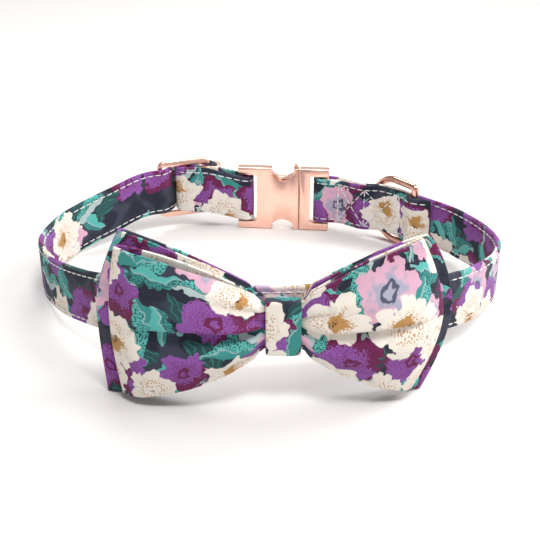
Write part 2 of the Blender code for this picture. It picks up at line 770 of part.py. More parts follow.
def front_face_of(sizes):
    """The foremost surface of a bow, as a function of x, for what lies in front of it."""

    def foremost(x):
        share = min(1.0, abs(x) / wing_of(x, sizes)["reach"])
        deepest = max(lens_depth(share, up / 10, sizes) for up in range(11))
        return sizes["behind"](x) - deepest - PANEL_PITCH

    return foremost


def make_bow(name, sizes, collection, seat):
    """A bow: one flattened loop of cloth, open above and below, thickened."""
    shares = [row["out"] for row in WING_STATIONS] + list(END_SHARES)
    outs = sorted({-s for s in shares} | set(shares))
    loop = [(s, True) for s in outs] + [(1.0, None)] + [(s, False) for s in outs[::-1]] + [(-1.0, None)]
    built = bmesh.new()
    grid = []
    for share, front in loop:
        column = []
        for k in range(PANEL_ROWS + 1):
            up = -1 + 2 * k / PANEL_ROWS
            if front is None:
                x, y, z = panel_point(share, up, sizes, False)
                point = (x, y - lens_depth(share, up, sizes) / 2, z)
            else:
                point = panel_point(share, up, sizes, front)
            column.append(built.verts.new(point))
        grid.append(column)
    for i, column in enumerate(grid):
        after = grid[(i + 1) % len(grid)]
        for k in range(PANEL_ROWS):
            built.faces.new((column[k], after[k], after[k + 1], column[k + 1]))
    mesh = bpy.data.meshes.new(name)
    built.to_mesh(mesh)
    built.free()
    mesh.shade_smooth()
    bow = add_object(name, mesh, collection, "print_fabric", seat)
    solidify = bow.modifiers.new("cloth", "SOLIDIFY")
    solidify.thickness = BOW_PANEL
    solidify.offset = 0.0
    return bow


def rounded_outline(half_y, half_z, corner):
    """A rounded rectangle in the YZ plane."""
    outline = []
    for y_sign, z_sign, start in ((1, 1, 0), (-1, 1, 90), (-1, -1, 180), (1, -1, 270)):
        centre = (y_sign * (half_y - corner), z_sign * (half_z - corner))
        outline += arc(*centre, corner, start, start + 90, 3)
    return outline


def knot_outline(front_y, back_y):
    """The knot in the YZ plane: tall in front, and falling away to the back bow's waist."""
    room = LAYER_GAP + KNOT_WALL / 2
    tall = WAISTS["bow_front"]["front"] / 2 + room
    low = WAISTS["bow_back"]["back"] / 2 + room
    cut = KNOT_WALL / 2
    upper = [
        (front_y, tall - cut),
        (front_y + cut, tall),
        (front_y + KNOT_SHOULDER, tall),
        (back_y - cut, low + cut / 2),
        (back_y, low - cut),
    ]
    return upper[::-1] + [(y, -z) for y, z in upper]


def band_mesh(name, outline, width):
    """A closed band along an outline in the YZ plane, as wide as given along X."""
    built = bmesh.new()
    rings = []
    for x in (-width / 2, width / 2):
        rings.append([built.verts.new((x, y, z)) for y, z in outline])
    for i in range(len(outline)):
        j = (i + 1) % len(outline)
        built.faces.new((rings[0][i], rings[0][j], rings[1][j], rings[1][i]))
    mesh = bpy.data.meshes.new(name)
    built.to_mesh(mesh)
    built.free()
    return mesh


def make_band(name, mesh, wall, material, collection, seat):
    """A band with its wall inside the outline."""
    band = add_object(name, mesh, collection, material, seat)
    solidify = band.modifiers.new("wall", "SOLIDIFY")
    solidify.thickness = wall
    solidify.offset = 0.0
    solidify.use_even_offset = True
    mesh.shade_smooth()
    return band


def make_bows(ring, collection, root):
    """Both bows and the knot, on the strap's front."""
    distance = ring.nearest_front(BOW_CENTRE)
    point, _, _ = ring.at(distance)
    place = (*point, BACK_BOW_HEIGHT / 2 + BOW_HEM_SPREAD)
    seat = add_empty("bow_seat", collection, place, BOW_TURN, root)
    stack = -(HALF_STRAP + KNOT_STANDOFF)
    knot_back = stack - KNOT_WALL / 2
    first = stack - KNOT_WALL - LAYER_GAP - BOW_PANEL / 2
    span = WINGS["bow_back"]["left"]["reach"]
    back = {
        "wings": WINGS["bow_back"],
        "waists": WAISTS["bow_back"],
        "height": BACK_BOW_HEIGHT,
        "bulge": BACK_BOW_BULGE,
        "end_depth": BACK_END_DEPTH,
        "pleat": 0.0,
        "behind": lambda x: first + BOW_SWEEP * (x / span) ** 2,
    }
    front = {
        "wings": WINGS["bow_front"],
        "waists": WAISTS["bow_front"],
        "height": FRONT_BOW_HEIGHT,
        "bulge": FRONT_BOW_BULGE,
        "end_depth": FRONT_END_DEPTH,
        "pleat": WAIST_PLEAT,
        "behind": front_face_of(back),
    }
    make_bow("bow_back", back, collection, seat)
    make_bow("bow_front", front, collection, seat)
    waist_front = min(map(front_face_of(front), (0.0, KNOT_WIDTH / 4, KNOT_WIDTH / 2)))
    knot_front = waist_front + (BOW_PANEL - KNOT_WALL) / 2
    knot = band_mesh("knot_band", knot_outline(knot_front, knot_back), KNOT_WIDTH)
    make_band("knot_band", knot, KNOT_WALL, "knot_fabric", collection, seat)
    return distance


def make_elastic(name, distance, ring, collection, root):
    """One elastic loop round the strap, hidden behind a wing."""
    point, ahead, lift = ring.at(distance)
    turn = math.atan2(-ahead[1], -ahead[0])
    seat = add_empty(f"{name}_seat", collection, (*point, lift + STRAP_WIDTH / 2), turn, root)
    _, _, lift_before = ring.at(distance - ELASTIC_WIDTH / 2)
    _, _, lift_after = ring.at(distance + ELASTIC_WIDTH / 2)
    seat.rotation_euler.y = math.atan2(lift_after - lift_before, ELASTIC_WIDTH)
    reach = HALF_STRAP + ELASTIC_GAP + ELASTIC_THICKNESS / 2
    half_z = STRAP_WIDTH / 2 + ELASTIC_GAP + ELASTIC_THICKNESS / 2
    outline = rounded_outline(reach, half_z, reach * ELASTIC_CORNER_SHARE)
    mesh = band_mesh(name, outline, ELASTIC_WIDTH)
    return make_band(name, mesh, ELASTIC_THICKNESS, "elastic", collection, seat)


def centre_on_surface(root, collection):
    """Moves the whole collar so that its box's bottom centre is the origin."""
    bpy.context.view_layer.update()
    graph = bpy.context.evaluated_depsgraph_get()
    corners = []
    for obj in collection.objects:
        if obj.type == "EMPTY":
            continue
        shape = obj.evaluated_get(graph)
        mesh = shape.to_mesh()
        corners += [shape.matrix_world @ vertex.co for vertex in mesh.vertices]
        shape.to_mesh_clear()
    points = np.array(corners)
    low, high = points.min(axis=0), points.max(axis=0)
    middle = (low + high) / 2
    root.location = (-middle[0], -middle[1], -low[2])


def main():
    for obj in list(bpy.data.objects):
        bpy.data.objects.remove(obj, do_unlink=True)
    collar = new_collection("pet_bow_tie_collar")
    helpers = new_collection("cutters")
    helpers.hide_render = True
    root = bpy.data.objects.new("collar", None)
    collar.objects.link(root)
    ring = Ring()
    make_strap(ring, collar, root)
    buckle_middle, buckle_turn = fitting_place("buckle")
    buckle_z = BUCKLE_LIFT + STRAP_WIDTH / 2
    buckle = add_empty("buckle_seat", collar, (*buckle_middle, buckle_z), buckle_turn, root)
    make_housing(collar, helpers, buckle)
    make_insert(collar, helpers, buckle)
    make_lever("release_lever_top", 1, collar, buckle)
    make_lever("release_lever_bottom", -1, collar, buckle)
    slider_middle, slider_turn = fitting_place("slider")
    slider_z = SLIDER_LIFT + STRAP_WIDTH / 2
    slider = add_empty("slider_seat", collar, (*slider_middle, slider_z), slider_turn, root)
    make_slider(collar, helpers, slider)
    make_d_ring(ring, collar, root)
    knot_at = make_bows(ring, collar, root)
    make_elastic("elastic_loop_left", knot_at + ELASTIC_FROM_KNOT, ring, collar, root)
    make_elastic("elastic_loop_right", knot_at - ELASTIC_FROM_KNOT, ring, collar, root)
    centre_on_surface(root, collar)


main()
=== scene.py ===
import math

import bmesh
import bpy
import numpy as np
from mathutils import Euler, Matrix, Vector


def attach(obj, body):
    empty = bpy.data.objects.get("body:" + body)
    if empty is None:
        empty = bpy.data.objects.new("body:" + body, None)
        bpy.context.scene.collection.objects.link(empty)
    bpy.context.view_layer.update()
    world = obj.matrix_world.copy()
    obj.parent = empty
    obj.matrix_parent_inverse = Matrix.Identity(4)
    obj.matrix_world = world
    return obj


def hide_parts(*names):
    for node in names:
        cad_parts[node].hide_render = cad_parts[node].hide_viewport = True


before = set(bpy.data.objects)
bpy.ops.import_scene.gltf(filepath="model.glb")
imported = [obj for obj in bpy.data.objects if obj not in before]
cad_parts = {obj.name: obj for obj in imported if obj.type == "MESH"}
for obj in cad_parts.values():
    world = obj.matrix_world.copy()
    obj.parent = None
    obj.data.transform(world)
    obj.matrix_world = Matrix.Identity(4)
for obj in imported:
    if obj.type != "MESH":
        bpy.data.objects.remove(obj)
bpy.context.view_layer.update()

# The collar's own sizes, as in the solids: metres, the bow faces -Y
SHIFT = np.array([-0.00004, 0.00325, 0.0])
STRAP_WIDTH = 0.020
STRAP_THICKNESS = 0.0019
RING_WIDTH = 0.1703
RING_DEPTH = 0.1374
LEAVING_TURN = math.radians(-16)
LAYER_GAP = 0.00035
SEWN_TAIL = 0.0130
END_PAST_D_RING = 0.0075
LAYER_BEND_RADIUS = 0.0016
BUCKLE_BAR_X = 0.01885
BUCKLE_BAR = 0.0021
BUCKLE_BAR_THICKNESS = 0.0018
BUCKLE_LIFT = 0.004
STRAP_SLACK = 0.0022
SLIDER_DEPTH = 0.0022
SLIDER_BAR = 0.0020
SLIDER_BAR_X = 0.0236 / 2 - SLIDER_BAR / 2
SLIDER_LIFT = 0.0079
D_WIRE = 0.0030
D_STRAIGHT = 0.0080
D_SHOULDER = 0.00035
D_RING_PLAY = 0.0008
D_RING_FROM_BUCKLE = 0.0395
D_RING_LEAN = math.radians(18)
BOW_PANEL = 0.0011
BOW_TURN = math.radians(2.1)
BOW_SWEEP = 0.0070
BOW_HEM_SPREAD = 0.00026
FRONT_BOW = {"height": 0.0490, "bulge": 0.0066, "end_depth": 0.0022, "pleat": 0.0012}
BACK_BOW = {"height": 0.0540, "bulge": 0.0012, "end_depth": 0.0006, "pleat": 0.0}
WAISTS = {
    "bow_front": {"front": 0.0148, "back": 0.0114},
    "bow_back": {"front": 0.0098, "back": 0.0080},
}
KNOT_SHOULDER = 0.0034
BOW_CENTRE = 0.0051
KNOT_WIDTH = 0.0104
KNOT_WALL = 0.0011
KNOT_STANDOFF = 0.0006
ELASTIC_WIDTH = 0.0080
ELASTIC_FROM_KNOT = 0.0190
FITTINGS = {
    "buckle": {"across": 0.088, "along": 0.945, "turn": -6.0},
    "slider": {"across": -0.424, "along": 0.985, "turn": 20.0},
}
# Where the ring passes: across and along as shares of its half width and half depth, and the
# lift as a share of the lift at the bow
RING_STATIONS = (
    (0.489, 0.812, 0.22),
    (0.615, 0.720, 0.285),
    (0.896, 0.425, 0.15),
    (0.998, -0.045, 0.22),
    (0.848, -0.485, 0.45),
    (0.565, -0.822, 0.73),
    (0.200, -0.968, 0.92),
    (-0.165, -0.990, 0.95),
    (-0.496, -0.845, 0.81),
    (-0.740, -0.560, 0.50),
    (-0.900, -0.240, 0.20),
    (-0.995, 0.088, 0.04),
    (-0.955, 0.425, 0.05),
    (-0.785, 0.672, 0.24),
)
# Reach; how far the upper and the lower corner are set in; how far the upper edge drops and
# the lower edge rises at the end
WINGS = {
    "bow_front": {
        "left": (0.0507, 0.0030, 0.0024, 0.0008, 0.0000),
        "right": (0.0476, 0.0079, 0.0079, 0.0000, 0.0016),
    },
    "bow_back": {
        "left": (0.0551, 0.0085, 0.0015, 0.0000, 0.0000),
        "right": (0.0514, 0.0084, 0.0084, 0.0020, 0.0000),
    },
}
WING_OUT = (0.00, 0.11, 0.17, 0.27, 0.40, 0.55, 0.70, 0.84, 0.95)
WING_TALL = (0.28, 0.29, 0.42, 0.53, 0.66, 0.79, 0.89, 0.96, 1.00)
WING_BULGE = (0.00, 0.06, 0.50, 0.85, 1.00, 0.98, 0.84, 0.60, 0.30)
WING_VALLEY = (0.0, 0.6, 0.9, 0.9, 0.8, 0.6, 0.35, 0.12, 0.0)
# The dressed front's fold: how deep along the wing; its middle, its upper lip and the slope
# below it as shares of half the height; and how far the cloth is tucked up under the lip
FOLD_DEPTH = (0.0, 0.75, 0.97, 1.0, 1.0, 0.98, 0.80, 0.40, 0.08)
FOLD_AT = {"left": (-0.02, -0.02), "right": (-0.10, 0.02)}
FOLD_LIP = 0.070
FOLD_SLOPE = {"left": 0.22, "right": 0.13}
FOLD_OVERHANG = 0.0036
# How nearly the right wings' upper edges are pressed shut, and how far those edges are shifted up
TOP_SHUT = 0.82
SHUT_FROM = 0.45
TOP_SHIFT = {"bow_front": 0.0007, "bow_back": -0.0009}
EDGE_BULGE = 0.28
END_ROUNDING = 0.045
CREASED_END = 0.15

HALF_STRAP = STRAP_THICKNESS / 2
HALF_FOLD = STRAP_THICKNESS + LAYER_GAP
BUCKLE_TURN = math.hypot(BUCKLE_BAR, BUCKLE_BAR_THICKNESS) / 2 + LAYER_GAP + HALF_STRAP
SLIDER_TURN = math.hypot(SLIDER_BAR, SLIDER_DEPTH) / 2 + LAYER_GAP + HALF_STRAP
BOW_LIFT = (BACK_BOW["height"] - STRAP_WIDTH) / 2
D_TURN = D_WIRE / 2 + LAYER_GAP + HALF_STRAP
PANEL_PITCH = BOW_PANEL + LAYER_GAP
D_HALF_BAR = STRAP_WIDTH / 2 + D_RING_PLAY + LAYER_GAP + D_WIRE / 2
D_BEND = D_HALF_BAR + D_SHOULDER
KNOT_BACK = -(HALF_STRAP + KNOT_STANDOFF)
RUN_OUT = 0.003
ARC_STEP = math.radians(11)
STITCH_LENGTH = 0.0026
STITCH_PITCH = 0.0034
STITCH_INSET = 0.0019
STITCH_THREAD = 0.00024
# One stitch from end to end: places along it, and its thickness there as a share of the thread
STITCH_PROFILE = ((-0.5, 0.35), (-0.36, 0.85), (0.0, 1.0), (0.36, 0.85), (0.5, 0.35))
STITCH_SIDES = 6
# The boxes' stitched lines by distance along the ring, and the tail's row from the strap's start
BOX_LINES = (0.0035, 0.0160, 0.0325)
TAIL_LINE = 0.0050
# The cloth of each bow laid flat goes once round the bow
CLOTH_LENGTH = {"bow_front": 0.197, "bow_back": 0.213}
ELASTIC_WALL = 0.0008
ELASTIC_GAP = 0.0005
ELASTIC_CORNER_SHARE = 0.6
KNOT_PUFF = 0.0004
METAL_EDGE = 0.00016
# How much of a wing from the knot outwards belongs to the waist, and how far it takes to widen
WAIST_END = 0.105
WAIST_WIDENS = 0.06
LIFT_MARGIN = 0.15

CAMERA_PLACE = (0.0016, -0.3073, 0.1532)
CAMERA_DOWN = math.radians(25.10)
CAMERA_LENS = 60.02
FLOOR_RADIUS = 1.8
FLOOR_DROP = 0.0002
# Name, place, size, power and colour
LIGHTS = (
    ("key", (0.62, 0.02, 0.55), (0.5, 0.5), 5.5, (1.0, 0.985, 0.97)),
    ("top_back", (-0.05, 0.85, 1.15), (1.0, 0.6), 13.0, (1.0, 0.99, 0.985)),
    ("top_front", (0.14, -0.44, 0.85), (0.30, 0.22), 6.0, (1.0, 0.99, 0.98)),
)


# The strap's way, worked out as in the solids
def smooth_step(value):
    value = np.clip(value, 0.0, 1.0)
    return value * value * (3.0 - 2.0 * value)


def turned(points, angle):
    """Points turned about Z. Those in the plane have no Z."""
    points = np.asarray(points)
    c, s = math.cos(angle), math.sin(angle)
    x, y = points[..., 0], points[..., 1]
    return np.stack([c * x - s * y, s * x + c * y, *np.moveaxis(points[..., 2:], -1, 0)], axis=-1)


def fitting_place(name):
    row = FITTINGS[name]
    middle = np.array([row["across"] * RING_WIDTH / 2, row["along"] * RING_DEPTH / 2])
    return middle, math.radians(row["turn"])


def on_fitting(name, along, out):
    middle, turn = fitting_place(name)
    return middle + turned((along, out), turn)


def belt(pulleys):
    """A path pulled taut round circles: radius above zero turns left, below zero right."""
    headings = []
    for (centre, radius), (next_centre, next_radius) in zip(pulleys, pulleys[1:]):
        gap = np.subtract(next_centre, centre)
        bearing = math.atan2(gap[1], gap[0])
        headings.append(bearing - math.asin((next_radius - radius) / np.hypot(*gap)))
    points = []
    for i, (centre, radius) in enumerate(pulleys):
        before = headings[max(i - 1, 0)]
        after = headings[min(i, len(headings) - 1)]
        if radius > 0 and after < before:
            after += math.tau
        if radius < 0 and after > before:
            after -= math.tau
        if abs(abs(after - before) - math.tau) < 1e-6:
            after = before
        steps = max(1, math.ceil(abs(after - before) / ARC_STEP)) if radius else 0
        for k in range(steps + 1):
            heading = before + (after - before) * k / max(steps, 1)
            left = np.array([-math.sin(heading), math.cos(heading)])
            points.append(np.asarray(centre) - radius * left)
    return points


def hermite(points, start_tangent, end_tangent, count=24):
    points = np.asarray(points)
    tangents = np.empty_like(points)
    tangents[1:-1] = (points[2:] - points[:-2]) / 2
    tangents[0] = start_tangent
    tangents[-1] = end_tangent
    out = []
    for i in range(len(points) - 1):
        for k in range(count):
            t = k / count
            out.append(
                (2 * t**3 - 3 * t**2 + 1) * points[i]
                + (t**3 - 2 * t**2 + t) * tangents[i]
                + (3 * t**2 - 2 * t**3) * points[i + 1]
                + (t**3 - t**2) * tangents[i + 1]
            )
    out.append(points[-1])
    return np.array(out)


class Ring:
    """The strap's outer layer from the buckle's right bar, by way of the bow, to the slider."""

    def __init__(self):
        leaving = fitting_place("buckle")[1] + LEAVING_TURN
        slider_turn = fitting_place("slider")[1]
        start = on_fitting("buckle", BUCKLE_BAR_X, 0.0) + turned((RUN_OUT, BUCKLE_TURN), leaving)
        end = on_fitting("slider", -SLIDER_BAR_X - RUN_OUT, -SLIDER_TURN)
        points = [(*start, BUCKLE_LIFT)]
        for across, along, lift in RING_STATIONS:
            points.append((across * RING_WIDTH / 2, along * RING_DEPTH / 2, lift * BOW_LIFT))
        points.append((*end, SLIDER_LIFT))
        self.leaving = turned((1.0, 0.0), leaving)
        first = np.linalg.norm(np.subtract(points[1], points[0]))
        last = np.linalg.norm(np.subtract(points[-1], points[-2]))
        ahead = np.append(turned((first, 0.0), leaving), 0.0)
        arrive = np.append(turned((last, 0.0), slider_turn), 0.0)
        self.path = hermite(points, ahead, arrive)
        steps = np.hypot(*np.diff(self.path[:, :2], axis=0).T)
        self.run = np.concatenate([[0.0], np.cumsum(steps)])
        self.length = self.run[-1]

    def at(self, distance):
        x, y, lift = (np.interp(distance, self.run, self.path[:, i]) for i in range(3))
        ends = np.clip([distance - 0.0015, distance + 0.0015], 0.0, self.length)
        ahead = [np.diff(np.interp(ends, self.run, self.path[:, i]))[0] for i in range(2)]
        return np.array([x, y]), np.array(ahead) / np.hypot(*ahead), lift

    def placed(self, distance, out):
        point, ahead, lift = self.at(max(distance, 0.0))
        if distance < 0:
            ahead = self.leaving
            point = point + distance * ahead
        return (*(point + out * np.array([-ahead[1], ahead[0]])), lift)

    def nearest_front(self, across):
        front = self.path[:, 1] < 0
        order = np.argsort(self.path[front, 0])
        return float(np.interp(across, self.path[front, 0][order], self.run[front][order]))


def rear_left_route():
    fold = SLIDER_TURN
    left, centre, right = (on_fitting("slider", s * SLIDER_BAR_X, 0.0) for s in (-1, 0, 1))
    return belt([
        (on_fitting("slider", SEWN_TAIL, -(fold + HALF_FOLD)), 0.0),
        (right, -(fold + HALF_FOLD)),
        (centre, fold),
        (right, fold + 2 * HALF_FOLD),
        (on_fitting("buckle", STRAP_SLACK - BUCKLE_BAR_X, 0.0), BUCKLE_TURN),
        (right, -fold),
        (centre, fold + HALF_FOLD),
        (left, -fold),
        (on_fitting("slider", -SLIDER_BAR_X - RUN_OUT, -fold), 0.0),
    ])


def rear_left_lift(point):
    start = on_fitting("slider", SLIDER_BAR_X, 0.0)
    run = on_fitting("buckle", -BUCKLE_BAR_X, 0.0) - start
    share = np.dot(point - start, run) / np.dot(run, run)
    share = (share - LIFT_MARGIN) / (1 - 2 * LIFT_MARGIN)
    return SLIDER_LIFT + (BUCKLE_LIFT - SLIDER_LIFT) * smooth_step(share)


def rear_right_route(ring):
    bend, inner, settle, slope_room = LAYER_BEND_RADIUS, -HALF_FOLD, 0.010, 0.0062
    d_bar = D_RING_FROM_BUCKLE
    turns = belt([
        ((0.0, 0.0), 0.0),
        ((-RUN_OUT - STRAP_SLACK, -BUCKLE_TURN), BUCKLE_TURN),
        ((settle - RUN_OUT, inner - bend), -bend),
        ((d_bar - slope_room, inner - bend), -bend),
        ((d_bar, -D_TURN), D_TURN),
        ((d_bar + slope_room, inner - bend), -bend),
        ((d_bar + END_PAST_D_RING, inner), 0.0),
    ])
    points = []
    for here, after in zip(turns[1:], turns[2:]):
        pieces = max(1, math.ceil(np.hypot(*(after - here)) / 0.0012))
        for k in range(pieces):
            points.append(here + (after - here) * k / pieces)
    points.append(turns[-1])
    return [ring.placed(along, out) for along, out in points]


class Route:
    """The strap's centre line: place, heading and lower edge by distance along it."""

    def __init__(self, ring):
        rows = [(*p, rear_left_lift(p)) for p in rear_left_route()]
        pieces = math.ceil(ring.length / 0.0015)
        rows += [ring.placed(ring.length * (1 - k / pieces), 0.0) for k in range(1, pieces + 1)]
        ring_end = len(rows)
        rows += rear_right_route(ring)
        kept, marks = [rows[0]], []
        for row in rows:
            if math.hypot(row[0] - kept[-1][0], row[1] - kept[-1][1]) > 0.0002:
                kept.append(row)
            marks.append(len(kept) - 1)
        rows = np.array(kept)
        run = np.concatenate([[0.0], np.cumsum(np.hypot(*np.diff(rows[:, :2], axis=0).T))])
        self.length = run[-1]
        self.right_start = run[marks[ring_end]]
        self.s = np.linspace(0.0, self.length, int(self.length / 0.0010))
        self.p = np.stack([np.interp(self.s, run, rows[:, i]) for i in range(3)], axis=1)
        ahead = np.gradient(self.p[:, :2], axis=0)
        ahead /= np.hypot(*ahead.T)[:, None]
        self.n = np.stack([ahead[:, 1], -ahead[:, 0]], axis=1)

    def inner_distance(self, ring, along):
        """The distance at which the inner layer passes this far along the ring."""
        x, y, _ = ring.placed(along, -HALF_FOLD)
        after = self.s > self.right_start
        off = np.hypot(self.p[after, 0] - x, self.p[after, 1] - y)
        return float(self.s[after][np.argmin(off)])

    def at(self, s, across, out):
        """A point at distance s, across up from the lower edge, out along the right-hand normal."""
        x, y, lift = (np.interp(s, self.s, self.p[:, i]) for i in range(3))
        nx, ny = (np.interp(s, self.s, self.n[:, i]) for i in range(2))
        size = np.hypot(nx, ny)
        return np.stack([x + out * nx / size, y + out * ny / size, lift + across], axis=-1) + SHIFT


# Meshes
def add_object(name, data):
    obj = bpy.data.objects.new(name, data)
    bpy.context.scene.collection.objects.link(obj)
    return obj


def add_mesh(name, vertices, faces, material):
    mesh = bpy.data.meshes.new(name)
    mesh.from_pydata(vertices, [], faces)
    mesh.shade_smooth()
    mesh.materials.append(material)
    return add_object(name, mesh)


def grid_object(name, points, uv, closed_across, closed_along, material):
    """A mesh from rows of points, with its cloth coordinates in metres."""
    rows, columns = points.shape[:2]
    faces, corners = [], []
    for i in range(rows if closed_along else rows - 1):
        for j in range(columns if closed_across else columns - 1):
            a, b = (i + 1) % rows, (j + 1) % columns
            faces.append((i * columns + j, a * columns + j, a * columns + b, i * columns + b))
            corners += [uv[i, j], uv[i + 1, j], uv[i + 1, j + 1], uv[i, j + 1]]
    caps = [0, rows - 1] if closed_across and not closed_along else []
    for i in caps:
        ring = [i * columns + j for j in range(columns)]
        faces.append(tuple(ring if i == 0 else ring[::-1]))
        corners += [uv[i, j] for j in (range(columns) if i == 0 else range(columns)[::-1])]
    obj = add_mesh(name, points.reshape(-1, 3).tolist(), faces, material)
    layer = obj.data.uv_layers.new(name="cloth")
    layer.data.foreach_set("uv", np.array(corners, np.float32).ravel())
    return obj


def apply_modifiers(obj):
    """Turns what the modifiers make into the object's own mesh."""
    graph = bpy.context.evaluated_depsgraph_get()
    mesh = bpy.data.meshes.new_from_object(obj.evaluated_get(graph))
    obj.modifiers.clear()
    obj.data = mesh
    return obj


def faces_outward(obj):
    built = bmesh.new()
    built.from_mesh(obj.data)
    bmesh.ops.recalc_face_normals(built, faces=built.faces)
    built.to_mesh(obj.data)
    built.free()
    return obj


def ripple(s, seed, sizes):
    """A sum of gentle waves along s, the same each run."""
    total = np.zeros_like(s)
    for k, (length, height) in enumerate(sizes):
        total += height * np.sin(math.tau * s / length + seed * (1.7 + k) + 2.1 * k)
    return total


def make_strap(route, material):
    """The padded strap: rolled edges, a sunk line under each row of stitches, soft creases."""
    half = STRAP_WIDTH / 2
    levels = np.array([-1, -0.985, -0.95, -0.89, -0.84, -0.80, -0.76, -0.68, -0.5, -0.25, 0.0])
    levels = np.concatenate([levels, -levels[-2::-1]]) * half
    edge = np.clip((half - np.abs(levels)) / 0.0007, 0, 1)
    thick = HALF_STRAP * (0.35 + 0.65 * np.sqrt(1 - (1 - edge) ** 2))
    sunk = np.exp(-(((half - np.abs(levels)) - STITCH_INSET) / 0.0005) ** 2)
    thick = thick * 0.94 - 0.00016 * sunk + 0.00004 * np.cos(math.pi * levels / STRAP_WIDTH)
    s = route.s
    rows = []
    for side in (1, -1):
        for k in range(len(levels))[::side]:
            near_edge = math.exp(-(((half - abs(levels[k])) - STITCH_INSET) / 0.0013) ** 2)
            pucker = 0.00007 * near_edge * np.cos(math.tau * s / STITCH_PITCH)
            crease = ripple(s + 0.3 * levels[k], side + 2, [(0.037, 0.00007), (0.0123, 0.00003)])
            wave = ripple(s, 5 * np.sign(levels[k]), [(0.061, 0.00016), (0.023, 0.00007)])
            edge_share = abs(levels[k]) / half
            across = half + levels[k] + wave * edge_share**4
            rows.append(route.at(s, across, side * (thick[k] + pucker) + crease))
    points = np.stack(rows, axis=1)
    around = np.concatenate([half + levels, STRAP_WIDTH * 2.15 - (half + levels[::-1])])
    around = np.append(around, STRAP_WIDTH * 2.2)
    uv = np.stack(np.meshgrid(s, around, indexing="ij"), axis=-1)
    return faces_outward(grid_object("strap_cloth", points, uv, True, False, material))


def stitch_shape():
    """One stitch along +X, unit long, as rings of a lens shape."""
    angles = np.arange(STITCH_SIDES) * math.tau / STITCH_SIDES
    return [
        [(along, size * math.cos(a), size * math.sin(a)) for a in angles]
        for along, size in STITCH_PROFILE
    ]


def make_stitches(name, places, material):
    """Stitches given as rows of start, end and the outward direction."""
    shape = stitch_shape()
    vertices, faces = [], []
    for start, end, out in places:
        along = end - start
        length = np.linalg.norm(along)
        along = along / length
        out = out - np.dot(out, along) * along
        out /= np.linalg.norm(out)
        side = np.cross(out, along)
        middle = (start + end) / 2
        base = len(vertices)
        for ring in shape:
            for x, a, b in ring:
                height = STITCH_THREAD * (0.8 * b + 0.45 * (1 - (2 * x) ** 2))
                vertices.append(middle + along * x * length + side * a * STITCH_THREAD + out * height)
        last = base + STITCH_SIDES * (len(shape) - 1)
        for low in range(base, last, STITCH_SIDES):
            for j in range(STITCH_SIDES):
                k = (j + 1) % STITCH_SIDES
                high = low + STITCH_SIDES
                faces.append((low + j, low + k, high + k, high + j))
        faces.append(tuple(base + j for j in range(STITCH_SIDES))[::-1])
        faces.append(tuple(last + j for j in range(STITCH_SIDES)))
    return add_mesh(name, [tuple(v) for v in vertices], faces, material)


def strap_stitch(route, first, last, side):
    """A stitch on one face of the strap, between two points of it."""
    out = side * (HALF_STRAP * 0.94 + 0.00002)
    a, b = route.at(*first, out), route.at(*last, out)
    middle = (first[0] + last[0]) / 2
    outward = route.at(middle, 0.0, side) - route.at(middle, 0.0, 0.0)
    return a, b, outward


def line_stitches(route, s0, up0, s1, up1, side):
    """A row of stitches on one face, between two points."""
    start, run = np.array([s0, up0]), np.array([s1 - s0, up1 - up0])
    count = max(1, round(math.hypot(*run) / STITCH_PITCH))
    half = STITCH_LENGTH / STITCH_PITCH / 2
    rows = []
    for k in range(count):
        first, last = (start + run * ((k + 0.5 + way * half) / count) for way in (-1, 1))
        rows.append(strap_stitch(route, first, last, side))
    return rows


def strap_stitches(route, ring):
    """Both edge rows on both faces, the crossed boxes by the D-ring and the tail's closing row."""
    low, high = STITCH_INSET, STRAP_WIDTH - STITCH_INSET
    rows = []
    for side in (1, -1):
        for up in (low, high):
            rows += line_stitches(route, 0.002, up, route.length - 0.002, up, side)
    boxes = [route.inner_distance(ring, d) for d in BOX_LINES]
    for s in boxes:
        rows += line_stitches(route, s, low, s, high, 1)
    for s0, s1 in zip(boxes, boxes[1:]):
        rows += line_stitches(route, s0, low, s1, high, 1)
        rows += line_stitches(route, s0, high, s1, low, 1)
    rows += line_stitches(route, TAIL_LINE, low, TAIL_LINE, high, 1)
    return rows


# Bows
def wing_value(out, column):
    return np.interp(out, WING_OUT, column)


def wing_of(share, sizes):
    return sizes["wings"]["right" if share > 0 else "left"]


def waist_share(out):
    """1 at the knot, 0 where the wing has widened."""
    return 1 - smooth_step((out - WAIST_END) / WAIST_WIDENS)


def above_fold(share, up):
    """The height above the middle of the front bow's fold, in half heights."""
    return up - np.interp(abs(share), (0.1, 0.9), FOLD_AT["right" if share > 0 else "left"])


def gathers(share, up):
    """Soft creases that fan out from the knot."""
    out = abs(share)
    near = smooth_step((out - 0.09) / 0.06) * (1 - smooth_step((out - 0.18) / 0.45))
    turn = 1.3 if share > 0 else 0.2
    fan = near * (0.0007 * math.sin(10.5 * up + turn) + 0.0004 * math.sin(17 * up + 3 * turn))
    return fan + 0.00035 * math.sin(5.0 * up * out + 9 * out + turn) * smooth_step(out * 2)


